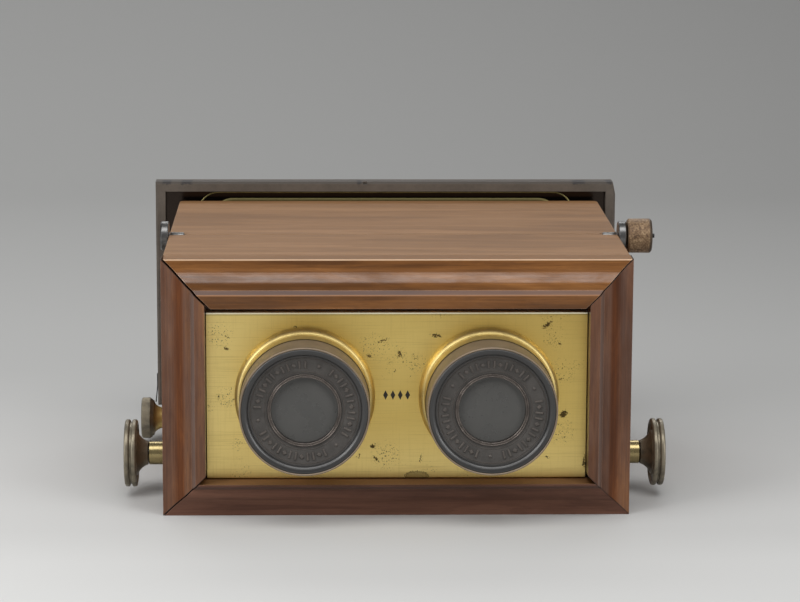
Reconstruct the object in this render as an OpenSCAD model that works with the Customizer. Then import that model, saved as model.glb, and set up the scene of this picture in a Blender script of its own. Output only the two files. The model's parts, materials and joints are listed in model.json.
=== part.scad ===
// Box stereoscope: a walnut case with a lifting lid, a lens carriage that is racked in and out by
// the two large side knobs, a clamp rod for the picture, and a framed reflector that tilts back.
// Depths are measured back from the front arris of the case, heights up from its underside.

/* [Case] */
// Width over the side panels
case_w = 183; // [176:0.5:196]
// Height of the case
case_h = 102.6; // [100:0.2:112]
// Depth of the case from the front arris to the rear face
case_d = 148.5; // [146:0.5:170]
// Thickness of the side panels
side_t = 5.5; // [4.5:0.25:6.5]
// Thickness of the base board
base_t = 6; // [4.5:0.25:7]
// Thickness of the two top boards
top_t = 6; // [5:0.25:7]
// Radius of the upright corners at the rear
rear_corner_r = 2.5; // [1:0.5:4]

/* [Front moulding] */
// How far the moulding reaches back from the front arris
rail_back = 9.5; // [9:0.25:12]
// How far the moulding stands proud of the side panels
rail_lip = 0.6; // [0.2:0.1:1.2]
// Width of the moulding's S-curve
ogee_w = 10.9; // [9:0.1:12]
// Rise of the S-curve
ogee_rise = 4.4; // [3:0.1:5]
// Share of the S-curve that is hollow
hollow_share = 0.69; // [0.4:0.01:0.8]
// Width of the flat between the S-curve and the step
fillet_w = 0.7; // [0.3:0.1:1.2]
// Width of the sloping step
step_w = 1.5; // [0.8:0.1:2]
// Height of the inner band in front of the arris
band_rise = 6.4; // [5.5:0.1:8]
// Width of the inner band across the top
band_top_w = 5.4; // [3:0.1:7]
// Width of the inner band at the sides
band_side_w = 4; // [2:0.1:5]
// Width of the inner band along the bottom
band_bottom_w = 0.8; // [0.5:0.1:2]
// Reach of the stop ledge behind the lens plate
ledge_w = 1.9; // [1:0.1:2.5]
// Open mitre between the lid and the left moulding
mitre_gap_left = 0.7; // [0.3:0.1:1]
// Open mitre between the lid and the right moulding
mitre_gap_right = 0.3; // [0.3:0.1:1]
// Open mitre at the left end of the bottom moulding
mitre_gap_bottom = 0.4; // [0:0.1:1]

/* [Lid] */
// Depth of the lid's hinge line
hinge_y = 59; // [55:0.5:64]
// Drop of the hinge line below the top
hinge_drop = 0.6; // [0.3:0.1:1]
// Radius of the steel pins
pin_r = 0.9; // [0.7:0.05:1.2]
// Length of each pin inside the case
pin_inside = 6; // [4:0.5:9]
// Radius of the steel bosses
boss_r = 6; // [4.5:0.25:7]
// Thickness of the steel bosses
boss_t = 3.3; // [2:0.1:4]
// Radius of the lid knob
lid_knob_r = 7; // [5:0.25:8]
// Length of the lid knob
lid_knob_l = 9.8; // [7:0.1:12]
// Reach of the pin's threaded end past the lid knob
pin_tip = 1.4; // [0.5:0.1:2]
// Width of the mirror under the lid
lid_mirror_w = 160; // [140:1:164]
// Depth of the mirror under the lid
lid_mirror_d = 42; // [34:0.5:43]
// Thickness of the mirror under the lid
lid_mirror_t = 2.6; // [2:0.1:3]

/* [Lens plate] */
// Depth of the plate's face behind the front arris
plate_set = 2.9; // [2:0.1:3.5]
// Thickness of the plate
plate_t = 4; // [3:0.1:4.3]
// Bevel along the plate's upper and lower edges
plate_bevel = 0.4; // [0.2:0.1:1]
// Open space between the plate and the top moulding
plate_top_gap = 2.8; // [1:0.1:4]
// Thickness of the board behind the plate
board_t = 8; // [6:0.25:9]
// Outward travel of the lens carriage
carriage_travel = 12; // [8:0.5:13]

/* [Eyepieces] */
// Distance between the two eyepieces
eye_span = 72.3; // [66:0.1:76]
// Height of the eyepieces
eye_z = 47.5; // [45:0.1:50]
// Radius of the brass flange at the plate
flange_r = 27.6; // [26.5:0.1:30]
// Length of the brass flange
flange_h = 13; // [10:0.25:16]
// Outer radius of the bronze eyecup
cup_r = 25.2; // [24:0.1:26]
// Wall of the bronze eyecup
cup_wall = 0.7; // [0.5:0.05:1]
// Reach of the eyecup past its flange
cup_h = 15.3; // [12:0.1:18]
// Radius at the foot of the dish's polished lip
lip_r = 21.7; // [20:0.1:22.5]
// Depth of the polished lip
lip_depth = 2; // [1:0.1:3]
// Depth of the dish at the lens
dish_depth = 3.3; // [2.8:0.1:6]
// Wall of the dish
dish_wall = 1.5; // [1:0.1:2]
// Radius of the lenses
lens_r = 13.7; // [12:0.1:15]
// Clear radius of the lens ring
lens_clear_r = 12.9; // [11.4:0.1:13.3]
// Thickness of the front lens at its edge
crown_edge = 2.6; // [2:0.1:3]
// Thickness of the rear lens at its edge
flint_edge = 3.6; // [3:0.1:4]
// Crown of the lens faces
lens_sag = 0.7; // [0.4:0.05:1]

/* [Focusing gear] */
// Depth of the pinion shaft
pinion_y = 35; // [33:0.5:38]
// Height of the pinion shaft
pinion_z = 16.9; // [15.5:0.1:18]
// Size of the gear teeth
gear_module = 0.8; // [0.7:0.05:0.9]
// Number of teeth on each pinion
pinion_teeth = 14; // [13:1:15]
// Number of teeth on each rack
rack_teeth = 15; // [14:1:17]
// Width of the gear teeth
gear_w = 5; // [4:0.25:6]
// Radius of the pinion shaft
shaft_r = 2.2; // [1.8:0.05:2.5]
// Outer radius of the shaft bushes
bush_r = 4.7; // [4.2:0.1:5.2]
// Reach of the bushes outside the side panels
bush_reach = 8; // [6:0.1:10]
// Radius of the focusing knobs
knob_r = 13.6; // [12:0.1:14.5]
// Length of the focusing knobs
knob_l = 9.2; // [8:0.1:12]
// Width of each of the knob's two rims
knob_rim = 2.1; // [1.8:0.1:2.8]
// Height of the slide bars
bar_h = 6; // [5:0.25:7]
// Width of the bars' tongues in the guides
tongue_w = 5.5; // [4:0.25:6]
// Width of the guides
guide_w = 13; // [11.5:0.25:14]

/* [Clamp rod] */
// Distance of the clamp rod in front of the case's rear face
clamp_y = 24.5; // [22.5:0.5:27.5]
// Height of the clamp rod
clamp_z = 10.8; // [10.2:0.1:12]
// Radius of the clamp rod
rod_r = 2; // [1.6:0.05:2.3]
// Radius of the clamp knob
clamp_knob_r = 8.7; // [7.5:0.1:9.5]
// Length of the clamp knob
clamp_knob_l = 16; // [14:0.1:18]
// Width of the clamp knob's milled rim
clamp_rim = 4.1; // [3:0.1:5]
// Width of each spring finger
finger_w = 9; // [6:0.5:14]
// Thickness of each spring finger
finger_t = 0.8; // [0.6:0.05:1.2]
// Sideways place of each spring finger
finger_x = 45; // [30:0.5:60]

/* [Picture space] */
// Height of the picture that the case takes
picture_h = 83; // [80:0.5:85]
// Wood left above the picture's slot
picture_head = 7.1; // [5:0.1:9]
// Depth of the slot that the picture slides in
slot_t = 4.6; // [4.4:0.1:5]
// Thickness of the rails in front of the picture
picture_rail_t = 2.5; // [2:0.1:3]
// Height of the bottom picture rail
picture_rail_h = 2.5; // [2:0.1:3.5]
// Thickness of the ground glass
glass_t = 2.4; // [2:0.1:2.8]
// Thickness of the rear window frame
window_t = 2.1; // [1.8:0.1:3]
// Width of the rear window frame's members
window_member = 6; // [4:0.25:8]
// Thickness of the partition
partition_t = 3; // [2:0.1:4]

/* [Reflector] */
// Width of the reflector frame
frame_w = 202.4; // [190:0.2:210]
// Height of the reflector frame
frame_h = 100.4; // [90:0.2:104]
// Thickness of the reflector frame
frame_t = 6.5; // [5.5:0.1:7]
// Width of the reflector frame's rim
frame_rim = 4.3; // [3:0.1:6]
// Bevel along the reflector frame's front edges
frame_bevel = 0.8; // [0.2:0.1:1.2]
// Height of the worn corner at the upper right of the reflector
worn_h = 5.5; // [3:0.1:8]
// Width of the worn corner
worn_w = 1.2; // [0.5:0.1:2]
// Sideways set of the reflector
frame_shift = -1.2; // [-2:0.1:2]
// Space between the case and the reflector
frame_space = 2.5; // [2:0.1:3.2]
// Height of the reflector's lower edge
frame_z = 10.2; // [10:0.1:11.5]
// Thickness of the reflector's mirror
mirror_t = 2.5; // [2:0.1:3]
// Thickness of the reflector's back
back_t = 1.8; // [1.2:0.1:2.2]
// Place of the catch notch in the top edge
notch_x = -10.4; // [-60:0.2:60]
// Radius of the hinge knuckles
knuckle_r = 1.9; // [1.6:0.05:2]
// Radius of the hinge pins
hinge_pin_r = 0.8; // [0.6:0.05:0.9]
// Thickness of the hinge leaves
leaf_t = 1.2; // [0.8:0.05:1.3]
// Length of each hinge
hinge_l = 24; // [18:0.5:36]
// Distance of each hinge from the middle
hinge_x = 60; // [45:0.5:75]

/* [Clearances] */
// Clearance between pieces that move past each other
part_gap = 0.3; // [0.25:0.05:0.4]
// Radial clearance of a shaft in its bearing
run_gap = 0.05; // [0.03:0.01:0.08]

/* [Hidden] */

// Facets of a true circle
$fn = 96;
// Straight pieces that stand for each arc of a profile
arc_steps = 8;
// Overlap that makes a cut clean
cut = 1;
// Softening of a turned edge
edge_soft = 0.3;
// Wider softening where an edge shows at the front of a turned face
face_soft = 0.6;

half_w = case_w / 2;
inner_x = half_w - side_t;
rail_x = half_w + rail_lip;
top_under = case_h - top_t;
picture_play = 0.5;
picture_top = top_under - picture_head;
picture_bottom = picture_top - picture_h - 2 * picture_play;

// Moulding, measured inwards from the outer edge of the front
band_start = ogee_w + fillet_w + step_w;
top_rail_w = band_start + band_top_w;
side_rail_w = band_start + band_side_w;
bottom_rail_w = band_start + band_bottom_w;
ledge_set = plate_set + plate_t + part_gap;

// Lens plate and carriage
plate_w = 2 * (rail_x - side_rail_w - part_gap);
plate_z0 = bottom_rail_w + part_gap;
plate_z1 = case_h - top_rail_w - plate_top_gap;
plate_rear = plate_set + plate_t;
board_w = 2 * (rail_x - side_rail_w - ledge_w - 2 * part_gap);
board_z0 = plate_z0 + ledge_w + 2 * part_gap;
board_z1 = plate_z1 + plate_top_gap - part_gap;
board_rear = plate_rear + board_t;
light_spare = 9;
light_r = lens_r + light_spare;

// Lid
hinge_z = case_h - hinge_drop;
lid_set = 0.1;
lid_rear = hinge_y - lid_set;
lid_sweep = norm([lid_set, hinge_drop]);
rear_board_y = hinge_y + lid_sweep + part_gap;
lid_under = top_under + part_gap;
lid_front_swing = norm([hinge_y - rail_back, hinge_z - lid_under]) - (hinge_y - rail_back);
lid_corner_y = rail_back + lid_front_swing + part_gap;
lid_corner_x = rail_x - top_t - part_gap;
pin_groove_end = 1;
pin_groove_room = 0.2;
pin_groove_l = pin_inside + pin_groove_end;
pin_groove_r = pin_r + part_gap + pin_groove_room;
boss_x = half_w + part_gap;
boss_pad_y = hinge_y + pin_r + run_gap + part_gap;
lid_knob_space = 0.5;
lid_knob_x = boss_x + boss_t + lid_knob_space;
lid_mirror_z = lid_under - lid_mirror_t;
lid_mirror_set = 3.5;
lid_mirror_y0 = rail_back + lid_mirror_set;

// Gears
pitch_r = gear_module * pinion_teeth / 2;
tooth_pitch = PI * gear_module;
rack_pitch_z = pinion_z + pitch_r;
addendum = 0.78 * gear_module;
dedendum = 1.15 * gear_module;
rack_back_t = 2;
pressure_angle = 20;
backlash = 0.3;
bar_z = rack_pitch_z + dedendum + rack_back_t;
guide_x = inner_x - guide_w;
bar_x1 = guide_x + tongue_w;
bar_spare = 1;
bar_x0 = guide_x - part_gap - gear_w - bar_spare;
gear_x = bar_x0 + (gear_w + bar_spare) / 2;
tongue_space = 1.5;
tongue_y = rail_back + carriage_travel + tongue_space;
tongue_l = 41;
bar_end = tongue_y + tongue_l;
guide_y1 = bar_end + part_gap;
guide_wall = 3.5;
bush_lip = 1;
bush_lip_t = 1.5;
shaft_cap = 1.5;
knob_rim_w = 2.4;
knob_flare = 0.55;

// Clamp rod
rod_bush_wall = 1.2;
rod_bush_r = rod_r + rod_bush_wall;
rod_bush_lip = 1;
rod_cap = 2;
finger_hub_wall = 1.4;
finger_hub_r = rod_r + finger_hub_wall;
finger_set = 0.8;
finger_bead_r = 0.7;

// Eyepieces, measured forward from the plate's face
cup_seat = 1.4;
bore_r = cup_r - cup_wall - cup_seat;
spigot_wall = 1.5;
rim_h = flange_h + cup_h;
dish_r = cup_r - cup_wall - run_gap;
lens_set = 1.2;
lens_front = rim_h - dish_depth - lens_set;
crown_rear = lens_front - crown_edge;
flint_rear = crown_rear - flint_edge - 2 * lens_sag;
ring_ledge = 0.6;
ring_r = lens_r + ring_ledge;
cell_wall = 1;
cell_rear = flint_rear - cell_wall;
cell_side = 1.4;
lip_step = 0.1;

// Picture space
glass_play = 0.4;
window_y = case_d - window_t;
glass_y = window_y - glass_t;
slot_y1 = glass_y - glass_play;
slot_y0 = slot_y1 - slot_t;
picture_rail_y = slot_y0 - picture_rail_t;
rod_y = case_d - clamp_y;
shaft_room = 5;
partition_y0 = pinion_y + shaft_r + shaft_room;
partition_step = 3;
partition_step_y = rear_board_y + partition_step;
mirror_room = 0.8;
partition_low = lid_mirror_z - mirror_room;

// Reflector
frame_y = case_d + frame_space;
frame_rear = frame_y + frame_t;
mirror_y = frame_rear - mirror_t;
knuckle_y = case_d + leaf_t + knuckle_r + part_gap;
knuckle_drop = 1;
knuckle_z = frame_z - leaf_t - knuckle_drop;
knuckle_seg = (hinge_l - 2 * part_gap) / 3;
spring_foot = 1.2;
spring_bend = 8.5;
spring_top = 14;

// Points of an arc of radius r round c, from angle a0 to a1
function arc(c, r, a0, a1) = [
    for (i = [0 : arc_steps]) let (a = a0 + (a1 - a0) * i / arc_steps) [c[0] + r * cos(a), c[1] + r * sin(a)]
];

// Moves a shape from the front arris's depth to the row's origin, the middle of the case
module in_frame() {
    translate([0, -case_d / 2, 0]) children();
}

// A block between two limits on each axis
module block(x, y, z) {
    translate([x[0], y[0], z[0]]) cube([x[1] - x[0], y[1] - y[0], z[1] - z[0]]);
}

// A cylinder along X
module bar_x(x, y, z, r) {
    translate([x[0], y, z]) rotate([0, 90, 0]) cylinder(h = x[1] - x[0], r = r);
}

// Turns a profile of [radius, height] points round the axis that leaves a side panel outwards
module turned_x(side, y, z, points) {
    translate([0, y, z]) rotate([0, side * 90, 0]) rotate_extrude() polygon(points);
}

// Turns a profile of [radius, height] points round an eyepiece's axis, forwards from the plate
module turned_eye(side, points) {
    translate([side * eye_span / 2, plate_set, eye_z]) rotate([90, 0, 0]) rotate_extrude() polygon(points);
}

// Profile of the front moulding: across its width, and forwards from the arris
function moulding_profile(band_w, ledge) = let (
    bend = 2 * atan(ogee_rise / ogee_w),
    radius = ogee_w / sin(bend),
    hollow_r = radius * hollow_share,
    round_r = radius * (1 - hollow_share),
    inner = band_start + band_w
) concat(
    [[0, -rail_back]],
    arc([0, hollow_r], hollow_r, -90, -90 + bend),
    arc([ogee_w, ogee_rise - round_r], round_r, 90 + bend, 90),
    [[ogee_w + fillet_w, ogee_rise], [band_start, band_rise], [inner, band_rise]],
    ledge > 0 ? [[inner, -ledge_set], [inner + ledge, -ledge_set], [inner + ledge, -rail_back]]
              : [[inner, -rail_back]]
);

// A length of moulding along X, its outer edge on the floor and its face to the front
module moulding(length, band_w, ledge) {
    rotate(180, [1, 0, 1]) linear_extrude(height = length, center = true)
        polygon(moulding_profile(band_w, ledge));
}

// Keeps what lies inside an outline in the front plane
module mitred(outline) {
    intersection() {
        children();
        translate([0, rail_back + cut, 0]) rotate([90, 0, 0])
            linear_extrude(height = rail_back + band_rise + 2 * cut) polygon(outline);
    }
}

// Outline of a board seen from above, with rounded corners at the rear
module board_plan(y0, height) {
    corner = [half_w - rear_corner_r, case_d - rear_corner_r];
    linear_extrude(height = height) polygon(concat(
        [[-half_w, y0], [half_w, y0]],
        arc(corner, rear_corner_r, 0, 90),
        arc([-corner[0], corner[1]], rear_corner_r, 90, 180)
    ));
}

module base_board() {
    color("#4a2c20") in_frame() board_plan(rail_back, base_t);
}

// Side panel, slotted for the picture and bored for its bushes
module side_panel(side) {
    color("#6b4331") in_frame() difference() {
        translate([0, 0, base_t]) intersection() {
            board_plan(rail_back, top_under - base_t);
            block(side > 0 ? [inner_x, half_w] : [-half_w, -inner_x], [0, case_d], [0, top_under - base_t]);
        }
        block([-half_w - cut, half_w + cut], [slot_y0, slot_y1], [picture_bottom, picture_top]);
        bar_x([-half_w - cut, half_w + cut], pinion_y, pinion_z, bush_r);
        bar_x([-half_w - cut, half_w + cut], rod_y, clamp_z, rod_bush_r);
    }
}

module side_panel_left() {
    side_panel(-1);
}

module side_panel_right() {
    side_panel(1);
}

module rear_top_board() {
    color("#96765f") in_frame() difference() {
        translate([0, 0, top_under]) board_plan(rear_board_y, top_t);
        for (side = [-1, 1])
            bar_x(side > 0 ? [half_w - pin_groove_l, half_w + cut] : [-half_w - cut, -half_w + pin_groove_l],
                hinge_y, hinge_z, pin_groove_r);
    }
}

// Upright moulding at one side
module front_rail_side(side) {
    reach = side_rail_w + ledge_w;
    color("#6e4436") in_frame() mitred([
        [side * rail_x, 0],
        [side * rail_x, case_h],
        [side * (rail_x - reach), case_h - reach],
        [side * (rail_x - reach), reach]
    ])
        translate([side * rail_x, 0, case_h / 2]) rotate([0, -side * 90, 0])
            moulding(case_h, band_side_w, ledge_w);
}

module front_rail_left() {
    front_rail_side(-1);
}

module front_rail_right() {
    front_rail_side(1);
}

module front_rail_bottom() {
    left = -rail_x + mitre_gap_bottom * sqrt(2);
    reach = bottom_rail_w + ledge_w;
    color("#4f3126") in_frame() mitred([
        [left, 0],
        [rail_x, 0],
        [rail_x - reach, reach],
        [left + reach, reach]
    ])
        moulding(2 * rail_x, band_bottom_w, ledge_w);
}

// Upright partition between the two pictures' light paths, lower under the lid's mirror
module partition() {
    color("#2b201b") in_frame() difference() {
        block([-partition_t / 2, partition_t / 2], [partition_y0, picture_rail_y], [base_t, top_under]);
        block([-partition_t, partition_t], [0, partition_step_y], [partition_low, case_h]);
        bar_x([-partition_t, partition_t], rod_y, clamp_z, rod_r + part_gap);
    }
}

// Grooved runner that carries a slide bar's tongue, scooped over the shaft's bush
module guide(side) {
    x = side > 0 ? [guide_x, inner_x] : [-inner_x, -guide_x];
    groove = side > 0 ? [guide_x - cut, bar_x1 + part_gap] : [-bar_x1 - part_gap, -guide_x + cut];
    color("#4a3226") in_frame() difference() {
        block(x, [rail_back, guide_y1], [bar_z - guide_wall, bar_z + bar_h + guide_wall]);
        block(groove, [rail_back - cut, guide_y1 + cut], [bar_z - part_gap, bar_z + bar_h + part_gap]);
        bar_x([-inner_x - cut, inner_x + cut], pinion_y, pinion_z, bush_r + bush_lip + part_gap);
    }
}

module guide_left() {
    guide(-1);
}

module guide_right() {
    guide(1);
}

// Bearing tube of the pinion shaft, flanged inside the panel
module pinion_bush(side) {
    color("#b08d3c") in_frame() turned_x(side, pinion_y, pinion_z, [
        [shaft_r + run_gap, inner_x - bush_lip_t],
        [bush_r + bush_lip, inner_x - bush_lip_t],
        [bush_r + bush_lip, inner_x],
        [bush_r, inner_x],
        [bush_r, half_w + bush_reach - edge_soft],
        [bush_r - edge_soft, half_w + bush_reach],
        [shaft_r + run_gap, half_w + bush_reach]
    ]);
}

module pinion_bush_left() {
    pinion_bush(-1);
}

module pinion_bush_right() {
    pinion_bush(1);
}

// Steel disc that a lid pin turns in, seated by a pad on the end of the rear top board
module lid_boss(side) {
    color("#8f9194") in_frame() difference() {
        union() {
            turned_x(side, hinge_y, hinge_z, [
                [0, boss_x],
                [boss_r - edge_soft, boss_x],
                [boss_r, boss_x + edge_soft],
                [boss_r, boss_x + boss_t - face_soft],
                [boss_r - face_soft, boss_x + boss_t],
                [0, boss_x + boss_t]
            ]);
            intersection() {
                turned_x(side, hinge_y, hinge_z, [
                    [0, half_w], [boss_r - edge_soft, half_w],
                    [boss_r - edge_soft, boss_x + edge_soft], [0, boss_x + edge_soft]
                ]);
                block([-half_w - boss_r, half_w + boss_r], [boss_pad_y, hinge_y + boss_r],
                    [top_under, case_h]);
            }
        }
        turned_x(side, hinge_y, hinge_z, [
            [0, half_w - cut], [pin_r + run_gap, half_w - cut],
            [pin_r + run_gap, boss_x + boss_t + cut], [0, boss_x + boss_t + cut]
        ]);
    }
}

module lid_boss_left() {
    lid_boss(-1);
}

module lid_boss_right() {
    lid_boss(1);
}

module picture_rail_bottom() {
    color("#2b201b") in_frame()
        block([-inner_x, inner_x], [picture_rail_y, slot_y0], [base_t, base_t + picture_rail_h]);
}

module picture_rail_top() {
    color("#2b201b") in_frame()
        block([-inner_x, inner_x], [picture_rail_y, slot_y0], [picture_top, top_under]);
}

module ground_glass() {
    color("#dfe5e2") in_frame() block([-inner_x, inner_x], [glass_y, window_y], [base_t, top_under]);
}

// Rear window frame that keeps the ground glass in
module rear_window() {
    color("#5b3a2c") in_frame() difference() {
        block([-inner_x, inner_x], [window_y, case_d], [base_t, top_under]);
        block([-inner_x + window_member, inner_x - window_member], [window_y - cut, case_d + cut],
            [base_t + window_member, top_under - window_member]);
    }
}

// Bearings of the clamp rod in both side panels
module rod_bushes() {
    color("#b08d3c") in_frame() for (side = [-1, 1])
        turned_x(side, rod_y, clamp_z, [
            [rod_r + run_gap, inner_x - rod_bush_lip],
            [rod_bush_r + rod_bush_lip, inner_x - rod_bush_lip],
            [rod_bush_r + rod_bush_lip, inner_x],
            [rod_bush_r, inner_x],
            [rod_bush_r, half_w],
            [rod_r + run_gap, half_w]
        ]);
}

// Leaves on the rear of the case, with the outer two knuckles of each hinge
module case_hinge_leaves() {
    seg = knuckle_seg;
    leaf_z = 0.8;
    color("#a8863a") in_frame() for (x = [-hinge_x, hinge_x]) {
        x0 = x + frame_shift - hinge_l / 2;
        difference() {
            union() {
                block([x0, x0 + hinge_l], [case_d, case_d + leaf_t],
                    [leaf_z, knuckle_z - knuckle_r + leaf_t]);
                block([x0, x0 + hinge_l], [case_d, knuckle_y],
                    [knuckle_z - knuckle_r, knuckle_z - knuckle_r + leaf_t]);
                bar_x([x0, x0 + hinge_l], knuckle_y, knuckle_z, knuckle_r);
            }
            block([x0 + seg, x0 + hinge_l - seg], [case_d + leaf_t, knuckle_y + 2 * knuckle_r],
                [knuckle_z - knuckle_r - cut, frame_z]);
            block([x0 + seg, x0 + hinge_l - seg], [case_d - cut, knuckle_y + 2 * knuckle_r],
                [knuckle_z - knuckle_r - part_gap, frame_z]);
            bar_x([x0 - cut, x0 + hinge_l + cut], knuckle_y, knuckle_z, hinge_pin_r);
        }
    }
}

module hinge_pins() {
    color("#8a8c8e") in_frame() for (x = [-hinge_x, hinge_x]) {
        x0 = x + frame_shift - hinge_l / 2;
        bar_x([x0, x0 + hinge_l], knuckle_y, knuckle_z, hinge_pin_r);
    }
}

// Front part of the top, let in at its rear corners for the pins, its front corners cut back so that they
// swing past the side mouldings
module lid_board() {
    color("#9a7a62") in_frame() difference() {
        block([-half_w, half_w], [rail_back, lid_rear], [lid_under, case_h]);
        for (side = [-1, 1]) {
            bar_x(side > 0 ? [half_w - pin_inside, half_w + cut] : [-half_w - cut, -half_w + pin_inside],
                hinge_y, hinge_z, pin_r);
            block(side > 0 ? [lid_corner_x, half_w + cut] : [-half_w - cut, -lid_corner_x],
                [rail_back - cut, lid_corner_y], [lid_under - cut, case_h + cut]);
        }
    }
}

// Top length of the moulding, which lifts with the lid
module front_rail_top() {
    left = -rail_x + mitre_gap_left * sqrt(2);
    right = rail_x - mitre_gap_right * sqrt(2);
    reach = top_rail_w;
    color("#7d4b38") in_frame() mitred([
        [left, case_h],
        [right, case_h],
        [right - reach, case_h - reach],
        [left + reach, case_h - reach]
    ])
        translate([0, 0, case_h]) rotate([0, 180, 0]) moulding(2 * rail_x, band_top_w, 0);
}

module lid_mirror() {
    color("#b9c2c6") in_frame()
        block([-lid_mirror_w / 2, lid_mirror_w / 2], [lid_mirror_y0, lid_mirror_y0 + lid_mirror_d],
            [lid_mirror_z, lid_under]);
}

// Four small angle clips that hold the lid's mirror by its two long edges
module mirror_clips() {
    clip_w = 7;
    clip_t = 0.5;
    clip_grip = 3;
    clip_inset = 25;
    color("#a8863a") in_frame() for (side = [-1, 1], end = [0, 1]) {
        edge_y = lid_mirror_y0 + end * lid_mirror_d;
        out = end > 0 ? 1 : -1;
        y = out > 0 ? [edge_y, edge_y + clip_t] : [edge_y - clip_t, edge_y];
        lip = out > 0 ? [edge_y - clip_grip, edge_y + clip_t] : [edge_y - clip_t, edge_y + clip_grip];
        x = side * (lid_mirror_w / 2 - clip_inset);
        block([x - clip_w / 2, x + clip_w / 2], y, [lid_mirror_z - clip_t, lid_under]);
        block([x - clip_w / 2, x + clip_w / 2], lip, [lid_mirror_z - clip_t, lid_mirror_z]);
    }
}

module lid_pin_left() {
    color("#7d8085") in_frame() bar_x([-boss_x - boss_t, -half_w + pin_inside], hinge_y, hinge_z, pin_r);
}

// Right-hand pin, which goes on through the lid knob
module lid_pin_right() {
    color("#7d8085") in_frame()
        bar_x([half_w - pin_inside, lid_knob_x + lid_knob_l + pin_tip], hinge_y, hinge_z, pin_r);
}

module lid_knob() {
    color("#8a6546") in_frame() turned_x(1, hinge_y, hinge_z, [
        [pin_r, lid_knob_x],
        [lid_knob_r - face_soft, lid_knob_x],
        [lid_knob_r, lid_knob_x + face_soft],
        [lid_knob_r, lid_knob_x + lid_knob_l - face_soft],
        [lid_knob_r - face_soft, lid_knob_x + lid_knob_l],
        [pin_r, lid_knob_x + lid_knob_l]
    ]);
}

// Brass plate, bevelled along its upper and lower edges
module lens_plate() {
    b = plate_bevel;
    color("#c9b063") in_frame() difference() {
        translate([-plate_w / 2, 0, 0]) rotate([90, 0, 90]) linear_extrude(height = plate_w) polygon([
            [plate_set, plate_z0 + b],
            [plate_set + b, plate_z0],
            [plate_rear, plate_z0],
            [plate_rear, plate_z1],
            [plate_set + b, plate_z1],
            [plate_set, plate_z1 - b]
        ]);
        for (side = [-1, 1])
            translate([side * eye_span / 2, plate_rear + cut, eye_z]) rotate([90, 0, 0])
                cylinder(h = plate_t + 2 * cut, r = bore_r + spigot_wall);
    }
}

module carriage_board() {
    color("#5b3a2c") in_frame() difference() {
        block([-board_w / 2, board_w / 2], [plate_rear, board_rear], [board_z0, board_z1]);
        for (side = [-1, 1])
            translate([side * eye_span / 2, board_rear + cut, eye_z]) rotate([90, 0, 0])
                cylinder(h = board_t + 2 * cut, r = light_r);
    }
}

// Brass flange with a round shoulder, a long neck and a spigot through the plate
module flange(side) {
    foot = 1;
    shoulder_l = 4;
    neck_taper = 0.1;
    neck_r = cup_r + edge_soft;
    fall = flange_r - neck_r - neck_taper;
    color("#b8923f") in_frame() turned_eye(side, concat(
        [[bore_r, -plate_t], [bore_r + spigot_wall, -plate_t], [bore_r + spigot_wall, 0], [flange_r, 0]],
        [for (i = [0 : arc_steps]) let (a = 90 * i / arc_steps)
            [flange_r - fall * (1 - cos(a)), foot + shoulder_l * sin(a)]],
        [[neck_r, flange_h], [bore_r, flange_h]]
    ));
}

module flange_left() {
    flange(-1);
}

module flange_right() {
    flange(1);
}

// Thin bronze cup, screwed by its spigot into the flange
module eyecup(side) {
    inner_r = cup_r - cup_wall;
    spigot_r = bore_r - run_gap;
    spigot_l = 6;
    floor_t = 1.2;
    round_w = 0.2;
    color("#7c5c44") in_frame() turned_eye(side, [
        [spigot_r, flange_h - spigot_l],
        [spigot_r, flange_h],
        [cup_r, flange_h],
        [cup_r, rim_h - round_w],
        [cup_r - round_w, rim_h],
        [inner_r + round_w, rim_h],
        [inner_r, rim_h - round_w],
        [inner_r, flange_h + floor_t],
        [spigot_r - floor_t, flange_h + floor_t],
        [spigot_r - floor_t, flange_h - spigot_l]
    ]);
}

module eyecup_left() {
    eyecup(-1);
}

module eyecup_right() {
    eyecup(1);
}

// Black dish with a rounded lip, a gentle cone and the lens cell behind it
module eye_dish(side) {
    lip_w = dish_r - lip_r - edge_soft;
    lip_rise = lip_depth - lip_step;
    cell_r = ring_r + cell_side;
    cone_z = rim_h - dish_depth;
    back_z = rim_h - lip_depth - dish_wall;
    color("#2f2d2b") in_frame() turned_eye(side, concat(
        [[dish_r, rim_h - edge_soft]],
        [for (i = [0 : arc_steps]) let (a = 90 * i / arc_steps)
            [dish_r - edge_soft - lip_w * sin(a), rim_h - lip_depth + lip_rise * cos(a)]],
        [[ring_r, cone_z], [ring_r, lens_front + ring_ledge], [lens_r, lens_front + ring_ledge],
            [lens_r, flint_rear], [lens_clear_r - cell_wall, flint_rear],
            [lens_clear_r - cell_wall, cell_rear],
            [cell_r, cell_rear], [cell_r, cone_z - dish_wall - cell_wall / 2],
            [lip_r - edge_soft, back_z], [dish_r, back_z]]
    ));
}

module eye_dish_left() {
    eye_dish(-1);
}

module eye_dish_right() {
    eye_dish(1);
}

// Ring with two fine round beads that keeps the lenses in their cell
module lens_ring(side) {
    bead_shares = 5;
    bead_r = (ring_r - lens_clear_r) / bead_shares;
    bead_z = rim_h - dish_depth + edge_soft;
    color("#3a302a") in_frame() turned_eye(side, concat(
        [[lens_clear_r, lens_front]],
        [[lens_r, lens_front], [lens_r, lens_front + ring_ledge], [ring_r, lens_front + ring_ledge]],
        arc([ring_r - bead_r, bead_z], bead_r, 0, 180),
        arc([lens_clear_r + bead_r, bead_z], bead_r, 0, 180)
    ));
}

module lens_ring_left() {
    lens_ring(-1);
}

module lens_ring_right() {
    lens_ring(1);
}

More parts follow.
